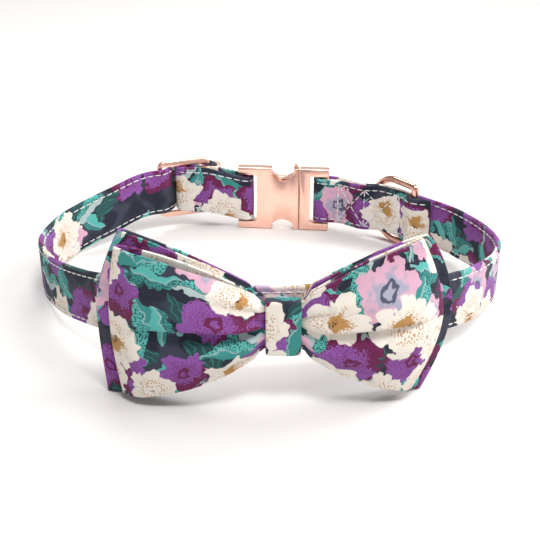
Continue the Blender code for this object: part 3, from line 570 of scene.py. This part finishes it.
def lens_depth(share, up, sizes, dressed=False):
    """How far a bow's front panel stands off its back panel: as in the solid, or as dressed."""
    out = abs(share)
    waist = waist_share(out)
    creases, shut = 0.0, 1.0
    if dressed:
        end = max(0.0, (out - (1 - CREASED_END)) / CREASED_END)
        rounding = 1 - end**1.7
        lip = above_fold(share, up)
        width = FOLD_LIP if lip > 0 else FOLD_SLOPE["right" if share > 0 else "left"]
        fold = math.exp(-abs(lip / width) ** 1.6) * wing_value(out, FOLD_DEPTH)
        creases = gathers(share, up) * (1 - 0.8 * fold)
        if share > 0:
            shut = 1 - TOP_SHUT * smooth_step((up - SHUT_FROM) / (1 - SHUT_FROM)) * (1 - waist)
    else:
        end = max(0.0, (out - (1 - END_ROUNDING)) / END_ROUNDING)
        rounding = math.sqrt(max(0.0, 1 - end**2))
        fold = math.exp(-((up / 0.24) ** 2)) * wing_value(out, WING_VALLEY)
    crown = EDGE_BULGE + (1 - EDGE_BULGE) * (1 - up**2)
    pleat = sizes["pleat"] * waist * (1 - abs(math.cos(math.pi * up)))
    swell = sizes["bulge"] * wing_value(out, WING_BULGE) * crown * (1 - fold)
    end_depth = sizes["end_depth"] * smooth_step(out)
    return PANEL_PITCH + pleat + (swell + end_depth + creases) * rounding * shut


def panel_point(share, up, sizes, front, dressed=False):
    """A point of the front panel, of the back panel, or midway between them where front is None."""
    out = abs(share)
    reach, upper_in, lower_in, upper_drop, lower_rise = wing_of(share, sizes)
    corner_in = upper_in if up > 0 else lower_in
    x = share * (reach - corner_in * out**3 * abs(up) ** 1.7)
    waist = waist_share(out)
    waist_height = sizes["waists"]["front" if front else "back"]
    tall = waist_height * waist + wing_value(out, WING_TALL) * sizes["height"] * (1 - waist)
    y = sizes["behind"](x)
    if front is None:
        y -= lens_depth(share, up, sizes, dressed) / 2
    elif front:
        y -= lens_depth(share, up, sizes, dressed)
    inset = upper_drop if up > 0 else lower_rise
    z = up * (tall / 2 - inset * out**3)
    if dressed and share > 0 and up > 0:
        z += sizes["top_shift"] * up**3 * smooth_step((out - 0.15) / 0.3)
    if front and dressed and sizes["pleat"]:
        tuck = math.exp(-(((above_fold(share, up) + 0.035) / 0.075) ** 2)) * wing_value(out, FOLD_DEPTH)
        z += FOLD_OVERHANG * tuck * min(1.0, tall / 0.035) * smooth_step(out / 0.25)
    return x, y, z


def front_face_of(sizes):
    def foremost(x):
        share = min(1.0, abs(x) / wing_of(x, sizes)[0])
        deepest = max(lens_depth(share, up / 10, sizes) for up in range(11))
        return sizes["behind"](x) - deepest - PANEL_PITCH

    return foremost


def make_bow(name, sizes, origin, material):
    """One loop of cloth, closed at both wing ends, with folded hems above and below."""
    outs = np.sin(np.linspace(-math.pi / 2, math.pi / 2, 91))
    outs = np.unique(np.round(np.clip(outs, -0.9975, 0.9975), 5))
    ups = np.unique(np.round(np.concatenate([np.linspace(-1, 1, 41), np.linspace(-0.24, 0.16, 33)]), 4))
    rows = len(ups) - 1
    loop = [(o, True) for o in outs] + [(1.0, None)] + [(o, False) for o in outs[::-1]] + [(-1.0, None)]
    grid = np.array([[panel_point(o, up, sizes, f, True) for up in ups] for o, f in loop])
    grid = turned(grid, BOW_TURN) + origin
    along = np.linalg.norm(np.diff(grid[:, rows // 2, :], axis=0), axis=1)
    along = np.concatenate([[0.0], np.cumsum(along)])
    closing = along[-1] + np.linalg.norm(grid[0, rows // 2] - grid[-1, rows // 2])
    u = np.append(along, closing)
    tall = np.array([abs(grid[i, -1, 2] - grid[i, 0, 2]) for i in range(len(loop))])
    tall = np.append(tall, tall[0])
    spread = 0.35 * tall + 0.65 * sizes["height"]
    v = np.outer(spread / 2, ups)
    uv = np.stack([np.repeat(u[:, None], rows + 1, axis=1), v], axis=-1)
    bow = grid_object(name, grid, uv, False, True, material)
    solid = bow.modifiers.new("cloth", "SOLIDIFY")
    solid.thickness = BOW_PANEL * 0.9
    solid.offset = 0.0
    bevel = bow.modifiers.new("hem", "BEVEL")
    bevel.width = BOW_PANEL * 0.36
    bevel.segments = 2
    bevel.limit_method = "ANGLE"
    bevel.angle_limit = math.radians(55)
    return apply_modifiers(bow)


def rounded_outline(half_y, half_z, corner):
    """A rounded rectangle in the YZ plane."""
    outline = []
    for y_sign, z_sign, start in ((1, 1, 0), (-1, 1, 90), (-1, -1, 180), (1, -1, 270)):
        centre = np.array([y_sign * (half_y - corner), z_sign * (half_z - corner)])
        for a in np.radians(np.linspace(start, start + 90, 9)):
            outline.append(centre + corner * np.array([math.cos(a), math.sin(a)]))
    return outline


def knot_outline(front_y, back_y):
    """The knot in the YZ plane, falling away to the back bow's waist, its corners cut round."""
    room = LAYER_GAP + KNOT_WALL / 2
    tall = WAISTS["bow_front"]["front"] / 2 + room
    low = WAISTS["bow_back"]["back"] / 2 + room
    cut = KNOT_WALL / 2
    upper = [
        (front_y, tall - cut * 2.4),
        (front_y + cut * 0.3, tall - cut * 0.8),
        (front_y + cut * 1.1, tall - cut * 0.1),
        (front_y + KNOT_SHOULDER * 0.8, tall - cut * 0.15),
        (front_y + KNOT_SHOULDER * 1.15, tall - cut * 0.7),
        (back_y - cut, low + cut / 2),
        (back_y, low - cut),
    ]
    return [np.array(p) for p in upper[::-1] + [(y, -z) for y, z in upper]]


def band(name, outline, width, wall, puff, material):
    """A closed band round an outline in the YZ plane, with soft folded edges."""
    middle = (min(y for y, _ in outline) + max(y for y, _ in outline)) / 2
    closed = np.array(outline + outline[:1])
    run = np.concatenate([[0.0], np.cumsum(np.hypot(*np.diff(closed, axis=0).T))])
    samples = np.linspace(0, run[-1], 121)[:-1]
    path = np.stack([np.interp(samples, run, closed[:, i]) for i in range(2)], axis=1)
    away = path - np.array([middle, 0.0])
    away /= np.hypot(*away.T)[:, None]
    profile = [(-1, 0), (-0.97, 0.8), (-0.9, 1), (-0.6, 1), (-0.3, 1), (0, 1), (0.3, 1), (0.6, 1),
               (0.9, 1), (0.97, 0.8), (1, 0), (0.97, -0.8), (0.9, -1), (0.3, -1), (-0.3, -1),
               (-0.9, -1), (-0.97, -0.8)]
    points = []
    for k, (point, direction) in enumerate(zip(path, away)):
        row = []
        for x, t in profile:
            lift = wall / 2 * t
            if t > 0:
                lift += puff * (1 - x * x + 0.24 * math.sin(k * 0.52 + 3 * x))
            row.append((x * width / 2, *(point + direction * lift)))
        points.append(row)
    points = np.array(points)
    across = np.array([x for x, _ in profile] + [-1]) * width / 2
    around = np.append(samples, run[-1])
    uv = np.stack(np.meshgrid(around, across, indexing="ij"), axis=-1)[..., ::-1]
    return faces_outward(grid_object(name, points, uv, True, True, material))


# Materials
class Net:
    """Builds a material from plain expressions."""

    def __init__(self, name):
        self.material = bpy.data.materials.new(name)
        self.material.use_nodes = True
        self.tree = self.material.node_tree
        self.shader = self.tree.nodes["Principled BSDF"]

    def node(self, kind, **settings):
        made = self.tree.nodes.new(kind)
        for key, value in settings.items():
            setattr(made, key, value)
        return made

    def put(self, socket, value):
        if isinstance(value, bpy.types.NodeSocket):
            self.tree.links.new(value, socket)
        elif isinstance(value, tuple) and len(value) == 3 and socket.type == "RGBA":
            socket.default_value = (*value, 1.0)
        else:
            socket.default_value = value

    def math(self, operation, *values):
        made = self.node("ShaderNodeMath", operation=operation)
        for socket, value in zip(made.inputs, values):
            self.put(socket, value)
        return made.outputs[0]

    def times(self, a, b):
        return self.math("MULTIPLY", a, b)

    def times_add(self, a, b, c):
        return self.math("MULTIPLY_ADD", a, b, c)

    def minus(self, a, b):
        return self.math("SUBTRACT", a, b)

    def shade(self, **values):
        """Sets the shader's inputs, named with underscores."""
        for key, value in values.items():
            self.put(self.shader.inputs[key.replace("_", " ")], value)

    def vec(self, operation, *values):
        made = self.node("ShaderNodeVectorMath", operation=operation)
        for socket, value in zip(made.inputs, values):
            self.put(socket, value)
        return made.outputs[1 if operation in ("LENGTH", "DISTANCE", "DOT_PRODUCT") else 0]

    def scale(self, vector, amount):
        made = self.node("ShaderNodeVectorMath", operation="SCALE")
        self.put(made.inputs[0], vector)
        self.put(made.inputs["Scale"], amount)
        return made.outputs[0]

    def mix(self, share, a, b):
        made = self.node("ShaderNodeMix", data_type="RGBA")
        self.put(made.inputs[0], share)
        self.put(made.inputs[6], a)
        self.put(made.inputs[7], b)
        return made.outputs[2]

    def split(self, vector):
        made = self.node("ShaderNodeSeparateXYZ")
        self.put(made.inputs[0], vector)
        return made.outputs[:3]

    def join(self, x, y, z=0.0):
        made = self.node("ShaderNodeCombineXYZ")
        for socket, value in zip(made.inputs, (x, y, z)):
            self.put(socket, value)
        return made.outputs[0]

    def soft(self, value, low, high):
        """Goes smoothly from 0 at low to 1 at high."""
        made = self.node("ShaderNodeMapRange", interpolation_type="SMOOTHSTEP")
        for socket, given in zip(made.inputs, (value, low, high)):
            self.put(socket, given)
        return made.outputs[0]

    def noise(self, vector, scale, detail=2.0, rough=0.5):
        made = self.node("ShaderNodeTexNoise", noise_dimensions="3D")
        self.put(made.inputs["Vector"], vector)
        for key, value in (("Scale", scale), ("Detail", detail), ("Roughness", rough)):
            made.inputs[key].default_value = value
        return made.outputs["Fac"], made.outputs["Color"]

    def cells(self, vector, scale, random=1.0):
        made = self.node("ShaderNodeTexVoronoi", voronoi_dimensions="2D")
        self.put(made.inputs["Vector"], vector)
        made.inputs["Scale"].default_value = scale
        made.inputs["Randomness"].default_value = random
        return made.outputs


def motif(net, p, size, shift, random):
    """The nearest motif of a jittered grid: offset from its middle in mm, and three random numbers."""
    q = net.vec("ADD", p, (*shift, 0.0))
    out = net.cells(q, 1.0 / size, random)
    return net.vec("SUBTRACT", q, out["Position"]), net.split(out["Color"])


def flower(net, p, size, shift, radius, petals, keep, wobble):
    """A ruffled flower: its mask, then its radius share, angle, petal wave and random numbers."""
    local, (r1, r2, r3) = motif(net, p, size, shift, 0.55)
    x, y, _ = net.split(local)
    angle = net.math("ARCTAN2", y, x)
    length = net.vec("LENGTH", local)
    start = net.times(r2, 6.3)
    wave = net.math("COSINE", net.math("ADD", net.times(angle, float(petals)), start))
    fine = net.math("COSINE", net.times_add(angle, float(3 * petals + 2), start))
    outline = net.times_add(wave, 0.115, 0.93)
    outline = net.times_add(fine, 0.035, outline)
    outline = net.times_add(net.minus(wobble, 0.5), 0.40, outline)
    grown = net.times_add(r1, 0.35 * radius, 0.78 * radius)
    share = net.math("DIVIDE", length, net.times(outline, grown))
    mask = net.times(net.soft(share, 1.02, 0.98), net.math("LESS_THAN", r3, keep))
    return mask, share, angle, wave, (r1, r2)


def leaf(net, p, size, shift, long, wide, keep, wobble):
    """A pointed leaf: its mask and its own coordinates."""
    local, (r1, r2, r3) = motif(net, p, size, shift, 0.6)
    turn = net.times(r1, 6.283)
    c, s = net.math("COSINE", turn), net.math("SINE", turn)
    x, y, _ = net.split(local)
    a = net.math("ADD", net.times(x, c), net.times(y, s))
    b = net.minus(net.times(y, c), net.times(x, s))
    bend = net.times_add(net.times(a, a), 0.03, b)
    bend = net.times_add(net.minus(wobble, 0.5), 2.2, bend)
    ratio = net.math("DIVIDE", a, long)
    room = net.minus(1.0, net.times(ratio, ratio))
    half = net.times(room, wide)
    inside = net.minus(half, net.math("ABSOLUTE", bend))
    mask = net.times(net.soft(inside, -0.06, 0.06), net.math("LESS_THAN", r3, keep))
    return mask, a, bend


NAVY = (0.012, 0.016, 0.030)
DEEP_GREEN = (0.016, 0.058, 0.058)
TEAL = (0.035, 0.235, 0.225)
TURQUOISE = (0.085, 0.40, 0.37)
MIST = (0.36, 0.46, 0.46)
CREAM = (0.74, 0.69, 0.62)
SHADED_CREAM = (0.50, 0.46, 0.40)
WORN = (0.55, 0.53, 0.54)
OCHRE = (0.42, 0.22, 0.07)
PURPLE = (0.19, 0.055, 0.28)
LAVENDER = (0.28, 0.105, 0.37)
BURGUNDY = (0.125, 0.010, 0.062)
PINK = (0.62, 0.36, 0.47)
GREY_LILAC = (0.33, 0.33, 0.43)
SLATE = (0.075, 0.080, 0.125)


class Cloth(Net):
    """A printed cotton: its coordinates in mm, plain and warped, and what all its motifs share."""

    def __init__(self, name, shift):
        super().__init__(name)
        uv = self.node("ShaderNodeUVMap", uv_map="cloth").outputs[0]
        self.flat = self.vec("ADD", self.scale(uv, 1000.0), (*shift, 0.0))
        _, warp = self.noise(self.flat, 0.22, 1.0)
        bent = self.scale(self.vec("SUBTRACT", warp, (0.5, 0.5, 0.5)), 5.0)
        self.p = self.vec("ADD", self.flat, bent)
        self.ruffle, _ = self.noise(self.flat, 0.34, 1.6)
        self.fine, _ = self.noise(self.flat, 1.6)

    def around(self, share, middle, inner, outer):
        """A ring where the share is near its middle value."""
        away = self.math("ABSOLUTE", self.minus(share, middle))
        return self.soft(away, outer, inner)

    def shaken(self, amount, value):
        """The value, moved by the fine noise."""
        return self.times_add(self.minus(self.fine, 0.5), amount, value)


def dark_ground(net):
    broad, _ = net.noise(net.flat, 0.12, 1.0)
    return net.mix(0.35, NAVY, net.mix(net.soft(broad, 0.45, 0.6), NAVY, SLATE))


def striped_leaves(net, colour):
    mask, a, b = leaf(net, net.p, 17.0, (3.0, 41.0), 9.0, 3.8, 0.62, net.ruffle)
    stripe = net.soft(net.math("SINE", net.times_add(b, 3.2, a)), 0.55, 0.85)
    shade = net.mix(net.times(stripe, 0.45), DEEP_GREEN, TEAL)
    return net.mix(mask, colour, shade)


def ribbed_leaves(net, colour):
    """Three layers of leaves, one half of each speckled, with a rib along the middle."""
    dot = net.soft(net.cells(net.flat, 1.35)["Distance"], 0.36, 0.26)
    for size, move, long, wide, keep, main, half in (
        (19.0, (7.0, 2.0), 10.5, 3.6, 0.72, TEAL, TURQUOISE),
        (17.0, (31.0, 17.0), 8.5, 2.9, 0.62, TURQUOISE, TEAL),
        (18.0, (12.0, 63.0), 9.0, 2.8, 0.60, MIST, TURQUOISE),
    ):
        mask, _, b = leaf(net, net.p, size, move, long, wide, keep, net.ruffle)
        side = net.soft(b, -0.12, 0.12)
        speckled = net.mix(net.times(dot, side), net.mix(side, main, half), DEEP_GREEN)
        rib = net.times(net.soft(net.math("ABSOLUTE", b), 0.34, 0.2), 0.6)
        colour = net.mix(mask, colour, net.mix(rib, speckled, DEEP_GREEN if main is MIST else MIST))
    return colour


def pink_flowers(net, colour, keep):
    mask, share, *_ = flower(net, net.p, 25.0, (52.0, 9.0), 9.0, 5, keep, net.ruffle)
    drift = net.times_add(net.minus(net.ruffle, 0.5), 1.9, share)
    tone = net.mix(net.soft(drift, 0.30, 0.85), GREY_LILAC, PINK)
    tone = net.mix(net.around(share, 0.26, 0.06, 0.085), tone, SLATE)
    tone = net.mix(net.times(net.soft(share, 0.72, 0.95), 0.7), tone, PINK)
    return net.mix(mask, colour, tone)


def small_flowers(net, colour):
    mask, share, *_ = flower(net, net.p, 27.0, (81.0, 27.0), 4.6, 5, 0.45, net.ruffle)
    tone = net.mix(net.around(share, 0.40, 0.11, 0.15), PINK, GREY_LILAC)
    return net.mix(mask, colour, net.mix(net.soft(share, 0.24, 0.2), tone, SLATE))


def purple_flowers(net, colour, keep):
    """Purple flowers with burgundy veins, heart and a ragged rim on one side."""
    mask, share, angle, _, rnd = flower(net, net.p, 21.0, (19.0, 33.0), 9.6, 5, keep, net.ruffle)
    branch = net.times(net.around(net.fine, 0.5, 0.015, 0.030), net.soft(share, 0.80, 0.5))
    tone = net.mix(net.times(net.soft(net.fine, 0.38, 0.6), 0.6), PURPLE, LAVENDER)
    heart = net.around(share, 0.20, 0.05, 0.085)
    tone = net.mix(net.math("MAXIMUM", branch, heart), tone, BURGUNDY)
    lean = net.math("COSINE", net.times_add(rnd[0], 6.3, angle))
    edge = net.shaken(0.9, net.times_add(lean, -0.30, 0.86))
    rim = net.soft(net.minus(share, edge), -0.02, 0.02)
    return net.mix(mask, colour, net.mix(rim, tone, BURGUNDY))


def cream_flowers(net, colour, keep):
    """Cream flowers with a ring of ochre specks and an ochre patch off their middle."""
    mask, share, angle, wave, rnd = flower(net, net.p, 22.0, (5.0, 71.0), 9.8, 6, keep, net.ruffle)
    ring = net.times(net.soft(share, 0.22, 0.34), net.soft(share, 0.74, 0.5))
    speck = net.soft(net.cells(net.flat, 1.25)["Distance"], 0.34, 0.26)
    crease = net.times(net.soft(wave, -0.75, -1.0), net.soft(share, 0.55, 0.8))
    tone = net.mix(net.times(crease, 0.35), CREAM, SHADED_CREAM)
    tone = net.mix(net.times(net.times(speck, ring), 0.85), tone, OCHRE)
    gold = net.math("COSINE", net.times_add(rnd[1], 6.3, angle))
    reach = net.shaken(0.6, net.times_add(gold, 0.20, 0.26))
    patch = net.soft(net.minus(share, reach), 0.02, -0.02)
    tone = net.mix(net.times(patch, net.math("GREATER_THAN", rnd[0], 0.25)), tone, OCHRE)
    pip = net.times(net.soft(share, 0.14, 0.1), net.soft(net.fine, 0.5, 0.55))
    return net.mix(mask, colour, net.mix(pip, tone, NAVY))


def print_cloth(name, shift, cream_share, purple_share):
    """Printed cotton: scattered leaves and ruffled flowers on a dark ground, over a fine weave."""
    net = Cloth(name, shift)
    colour = ribbed_leaves(net, striped_leaves(net, dark_ground(net)))
    colour = small_flowers(net, pink_flowers(net, colour, purple_share * 0.75))
    colour = purple_flowers(net, colour, purple_share + 0.2)
    colour = cream_flowers(net, colour, cream_share)
    grain, _ = net.noise(net.flat, 4.5, 2.0, 0.7)
    faded = net.times(net.soft(grain, 0.45, 0.68), 0.055)
    net.shade(Base_Color=net.mix(faded, colour, WORN), Roughness=net.times_add(grain, 0.2, 0.74),
              Sheen_Weight=0.06, Sheen_Roughness=0.5, Specular_IOR_Level=0.16)
    weave(net)
    return net.material


def weave(net):
    """A plain weave of 2.4 threads a millimetre as bump."""
    x, y, _ = net.split(net.flat)
    a, b = (net.math("SINE", net.times(side, math.pi * 2.4)) for side in (x, y))
    slub, _ = net.noise(net.flat, 3.0, 3.0, 0.7)
    bumps(net, net.times_add(net.times(a, b), 0.45, slub), 0.22, 0.00012)


def bumps(net, height, strength, distance):
    bump = net.node("ShaderNodeBump")
    bump.inputs["Strength"].default_value = strength
    bump.inputs["Distance"].default_value = distance
    net.put(bump.inputs["Height"], height)
    net.put(net.shader.inputs["Normal"], bump.outputs[0])


def object_coordinates(net):
    return net.scale(net.node("ShaderNodeTexCoord").outputs["Object"], 1000.0)


def metal(name, colour, dark, roughness):
    """Plated metal: soft streaks, faint handling marks, a little darker in places."""
    net = Net(name)
    p = object_coordinates(net)
    x, y, z = net.split(p)
    streaks, _ = net.noise(net.join(net.times(x, 0.08), y, net.times(z, 2.2)), 2.2, 3.0)
    cloud, _ = net.noise(p, 0.25, 3.0)
    marks, _ = net.noise(p, 5.0, 4.0, 0.7)
    rough = net.times_add(streaks, 0.06, roughness - 0.03)
    net.shade(Base_Color=net.mix(net.soft(cloud, 0.35, 0.7), colour, dark),
              Roughness=net.times_add(marks, 0.03, rough), Metallic=1.0)
    bumps(net, net.math("ADD", streaks, marks), 0.02, 0.0001)
    return net.material


def thread_material():
    net = Net("white_thread")
    p = object_coordinates(net)
    twist, _ = net.noise(p, 6.0, 2.0)
    net.shade(Base_Color=net.mix(twist, (0.80, 0.80, 0.78), (0.62, 0.62, 0.62)),
              Roughness=net.times_add(twist, 0.2, 0.5), Sheen_Weight=0.3)
    return net.material


def elastic_material():
    net = Net("black_elastic")
    uv = net.node("ShaderNodeUVMap", uv_map="cloth").outputs[0]
    flat = net.scale(uv, 1000.0)
    x, _, _ = net.split(flat)
    ribs = net.math("SINE", net.times(x, 6.0))
    fuzz, _ = net.noise(flat, 3.0, 3.0)
    net.shade(Base_Color=net.mix(fuzz, (0.012, 0.012, 0.015), (0.04, 0.04, 0.05)),
              Roughness=net.times_add(fuzz, 0.2, 0.7))
    bumps(net, net.times_add(fuzz, 0.4, ribs), 0.5, 0.0002)
    return net.material


def floor_material():
    net = Net("pale_floor")
    p = net.node("ShaderNodeTexCoord").outputs["Object"]
    cloud, _ = net.noise(p, 3.0, 2.0)
    net.shade(Base_Color=net.mix(cloud, (0.76, 0.745, 0.735), (0.78, 0.765, 0.755)),
              Roughness=net.times_add(cloud, 0.1, 0.75), Specular_IOR_Level=0.1)
    return net.material


# The object
def dress_metal():
    """The buckle, its levers and the slider keep their solids, with plated metal and soft edges."""
    plated = metal("rose_gold_plate", (0.97, 0.62, 0.50), (0.95, 0.58, 0.46), 0.27)
    for name in ("buckle_female", "buckle_male", "release_lever_top", "release_lever_bottom", "slider"):
        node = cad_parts[name]
        node.data.materials.clear()
        node.data.materials.append(plated)
        weld = node.modifiers.new("joined", "WELD")
        weld.merge_threshold = 0.000005
        bevel = node.modifiers.new("soft edges", "BEVEL")
        bevel.width = METAL_EDGE
        bevel.segments = 2
        bevel.limit_method = "ANGLE"
        bevel.angle_limit = math.radians(35)
        bevel.harden_normals = True
        node.data.shade_smooth()


def d_ring_outline():
    """The wire's middle line from the bar round: along the bar's normal, and up."""
    reach = math.sqrt(D_BEND**2 - D_HALF_BAR**2)
    opening = math.asin(D_HALF_BAR / D_BEND)
    outline = []
    for centre, start, end, count in (
        (reach, math.pi - opening, math.pi / 2, 6),
        (reach + D_STRAIGHT, math.pi / 2, -math.pi / 2, 60),
        (reach, -math.pi / 2, opening - math.pi, 6),
    ):
        for a in np.linspace(start, end, count):
            outline.append((centre + D_BEND * math.cos(a), 0.0, D_BEND * math.sin(a)))
    bar = D_HALF_BAR * 0.93
    return np.array(outline + [(0.0, 0.0, z) for z in np.linspace(-bar, bar, 24)])


def make_d_ring(ring):
    path = d_ring_outline()
    ahead = np.roll(path, -1, axis=0) - np.roll(path, 1, axis=0)
    ahead /= np.linalg.norm(ahead, axis=1)[:, None]
    side = np.stack([-ahead[:, 2], np.zeros(len(path)), ahead[:, 0]], axis=1)
    depth = np.array([0.0, 1.0, 0.0])
    sides = 16
    angles = np.arange(sides) * math.tau / sides
    wire = [path + D_WIRE / 2 * (math.cos(a) * side + math.sin(a) * depth) for a in angles]
    grid = np.stack(wire, axis=1)

    x, y, lift = ring.placed(D_RING_FROM_BUCKLE, -D_TURN)
    _, along, _ = ring.at(D_RING_FROM_BUCKLE)
    turn = math.atan2(-along[1], -along[0]) - D_RING_LEAN
    origin = np.array([x, y, lift + STRAP_WIDTH / 2 + D_RING_PLAY]) + SHIFT
    grid = turned(grid, turn) + origin
    gold = metal("d_ring_plate", (0.86, 0.50, 0.38), (0.78, 0.42, 0.31), 0.17)
    uv = np.zeros((len(path) + 1, sides + 1, 2))
    obj = faces_outward(grid_object("d_ring_wire", grid, uv, True, True, gold))
    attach(obj, "d_ring")
    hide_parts("d_ring")


def place_band(obj, origin, turn, tilt):
    """Moves a band made about the origin to its place, in its mesh."""
    matrix = Euler((0.0, tilt, turn)).to_matrix().to_4x4()
    matrix.translation = Vector(origin)
    obj.data.transform(matrix)


def loop_length(obj, width):
    """The length of a band, from its surface's area and its width."""
    return sum(face.area for face in obj.data.polygons) / 2 / width


def put_on_collar(piece, node=None):
    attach(piece, "collar")
    if node:
        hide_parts(node)


def dress_strap(ring):
    route = Route(ring)
    strap = make_strap(route, print_cloth("strap_print", (130.0, 260.0), 0.68, 0.65))
    stitches = make_stitches("strap_stitches", strap_stitches(route, ring), thread_material())
    put_on_collar(strap, "strap")
    put_on_collar(stitches)
    return (strap, (STRAP_WIDTH, route.length)), stitches


def bow_sizes():
    """Both bows' sizes, each with the surface that its back panel follows."""
    sizes = {}
    for name, own in (("bow_back", BACK_BOW), ("bow_front", FRONT_BOW)):
        sizes[name] = {**own, "wings": WINGS[name], "waists": WAISTS[name], "top_shift": TOP_SHIFT[name]}
    first = KNOT_BACK - KNOT_WALL - LAYER_GAP - BOW_PANEL / 2
    span = WINGS["bow_back"]["left"][0]
    sizes["bow_back"]["behind"] = lambda x: first + BOW_SWEEP * (x / span) ** 2
    sizes["bow_front"]["behind"] = front_face_of(sizes["bow_back"])
    return sizes


def dress_bows(sizes, origin):
    cloth = {}
    for name, shift, cream_share, purple_share in (
        ("bow_back", (210.0, 35.0), 0.45, 0.7),
        ("bow_front", (400.0, 90.0), 0.66, 0.6),
    ):
        cotton = print_cloth(f"{name}_print", shift, cream_share, purple_share)
        bow = make_bow(f"{name}_cloth", sizes[name], origin, cotton)
        put_on_collar(bow, name)
        cloth[name] = (bow, (sizes[name]["height"], CLOTH_LENGTH[name]))
    return cloth


def dress_knot(front_bow, origin):
    foremost = front_face_of(front_bow)
    waist_front = min(foremost(x) for x in (0.0, KNOT_WIDTH / 4, KNOT_WIDTH / 2))
    knot_front = waist_front + (BOW_PANEL - KNOT_WALL) / 2
    outline = knot_outline(knot_front, KNOT_BACK - KNOT_WALL / 2)
    cotton = print_cloth("knot_print", (640.0, 120.0), 0.95, 0.15)
    knot = band("knot_cloth", outline, KNOT_WIDTH, KNOT_WALL * 0.9, KNOT_PUFF, cotton)
    place_band(knot, origin, BOW_TURN, 0.0)
    put_on_collar(knot, "knot_band")
    return knot, (KNOT_WIDTH, loop_length(knot, KNOT_WIDTH))


def dress_elastic(ring, middle):
    """The two loops behind the wings, each lying along the strap."""
    elastic = elastic_material()
    room = ELASTIC_GAP + ELASTIC_WALL / 2
    half_y, half_z = HALF_STRAP + room, STRAP_WIDTH / 2 + room
    outline = rounded_outline(half_y, half_z, half_y * ELASTIC_CORNER_SHARE)
    for name, at in (("left", middle + ELASTIC_FROM_KNOT), ("right", middle - ELASTIC_FROM_KNOT)):
        point, ahead, lift = ring.at(at)
        before, after = (ring.at(at + s * ELASTIC_WIDTH / 2)[2] for s in (-1, 1))
        loop = band(f"elastic_{name}", outline, ELASTIC_WIDTH, ELASTIC_WALL, 0.0, elastic)
        origin = np.array([*point, lift + STRAP_WIDTH / 2]) + SHIFT
        tilt = math.atan2(after - before, ELASTIC_WIDTH)
        place_band(loop, origin, math.atan2(-ahead[1], -ahead[0]), tilt)
        put_on_collar(loop, f"elastic_loop_{name}")


def dress_cloth(ring):
    strap, stitches = dress_strap(ring)
    middle = ring.nearest_front(BOW_CENTRE)
    origin = np.array([*ring.at(middle)[0], BACK_BOW["height"] / 2 + BOW_HEM_SPREAD]) + SHIFT
    sizes = bow_sizes()
    cloth = {"strap": strap, **dress_bows(sizes, origin)}
    cloth["knot"] = dress_knot(sizes["bow_front"], origin)
    dress_elastic(ring, middle)


# Camera, floor and light
def add_camera():
    data = bpy.data.cameras.new("photo_camera")
    data.sensor_width = 36.0
    data.lens = CAMERA_LENS
    camera = add_object("photo_camera", data)
    camera.location = Vector(CAMERA_PLACE) + Vector(SHIFT)
    camera.rotation_euler = (math.pi / 2 - CAMERA_DOWN, 0.0, 0.0)
    bpy.context.scene.camera = camera


def add_light(name, place, size, power, colour):
    """A soft rectangle of light, turned to the collar."""
    data = bpy.data.lights.new(name, "AREA")
    data.shape = "RECTANGLE"
    data.size, data.size_y = size
    data.energy = power
    data.color = colour
    light = add_object(name, data)
    light.location = place
    aim = Vector((0.0, 0.0, STRAP_WIDTH)) - Vector(place)
    light.rotation_euler = aim.to_track_quat("-Z", "Y").to_euler()


def add_floor():
    mesh = bpy.data.meshes.new("floor")
    sides = 96
    angles = [k * math.tau / sides for k in range(sides)]
    rim = [(FLOOR_RADIUS * math.cos(a), FLOOR_RADIUS * math.sin(a), -FLOOR_DROP) for a in angles]
    mesh.from_pydata(rim, [], [tuple(range(sides))])
    mesh.materials.append(floor_material())
    add_object("floor", mesh)


def add_surroundings():
    """A studio that is pale at the horizon and dimmer above."""
    world = bpy.data.worlds.new("studio")
    world.use_nodes = True
    nodes, links = world.node_tree.nodes, world.node_tree.links
    split = nodes.new("ShaderNodeSeparateXYZ")
    height = nodes.new("ShaderNodeMapRange")
    for socket, value in zip(height.inputs[1:5], (0.04, 0.40, 0.90, 0.26)):
        socket.default_value = value
    links.new(nodes.new("ShaderNodeTexCoord").outputs["Generated"], split.inputs[0])
    links.new(split.outputs["Z"], height.inputs[0])
    links.new(height.outputs[0], nodes["Background"].inputs["Strength"])
    nodes["Background"].inputs["Color"].default_value = (1.0, 0.985, 0.97, 1.0)
    bpy.context.scene.world = world
    bpy.context.scene.view_settings.view_transform = "Standard"


add_camera()
add_floor()
add_surroundings()
for light in LIGHTS:
    add_light(*light)
the_ring = Ring()
dress_metal()
make_d_ring(the_ring)
dress_cloth(the_ring)
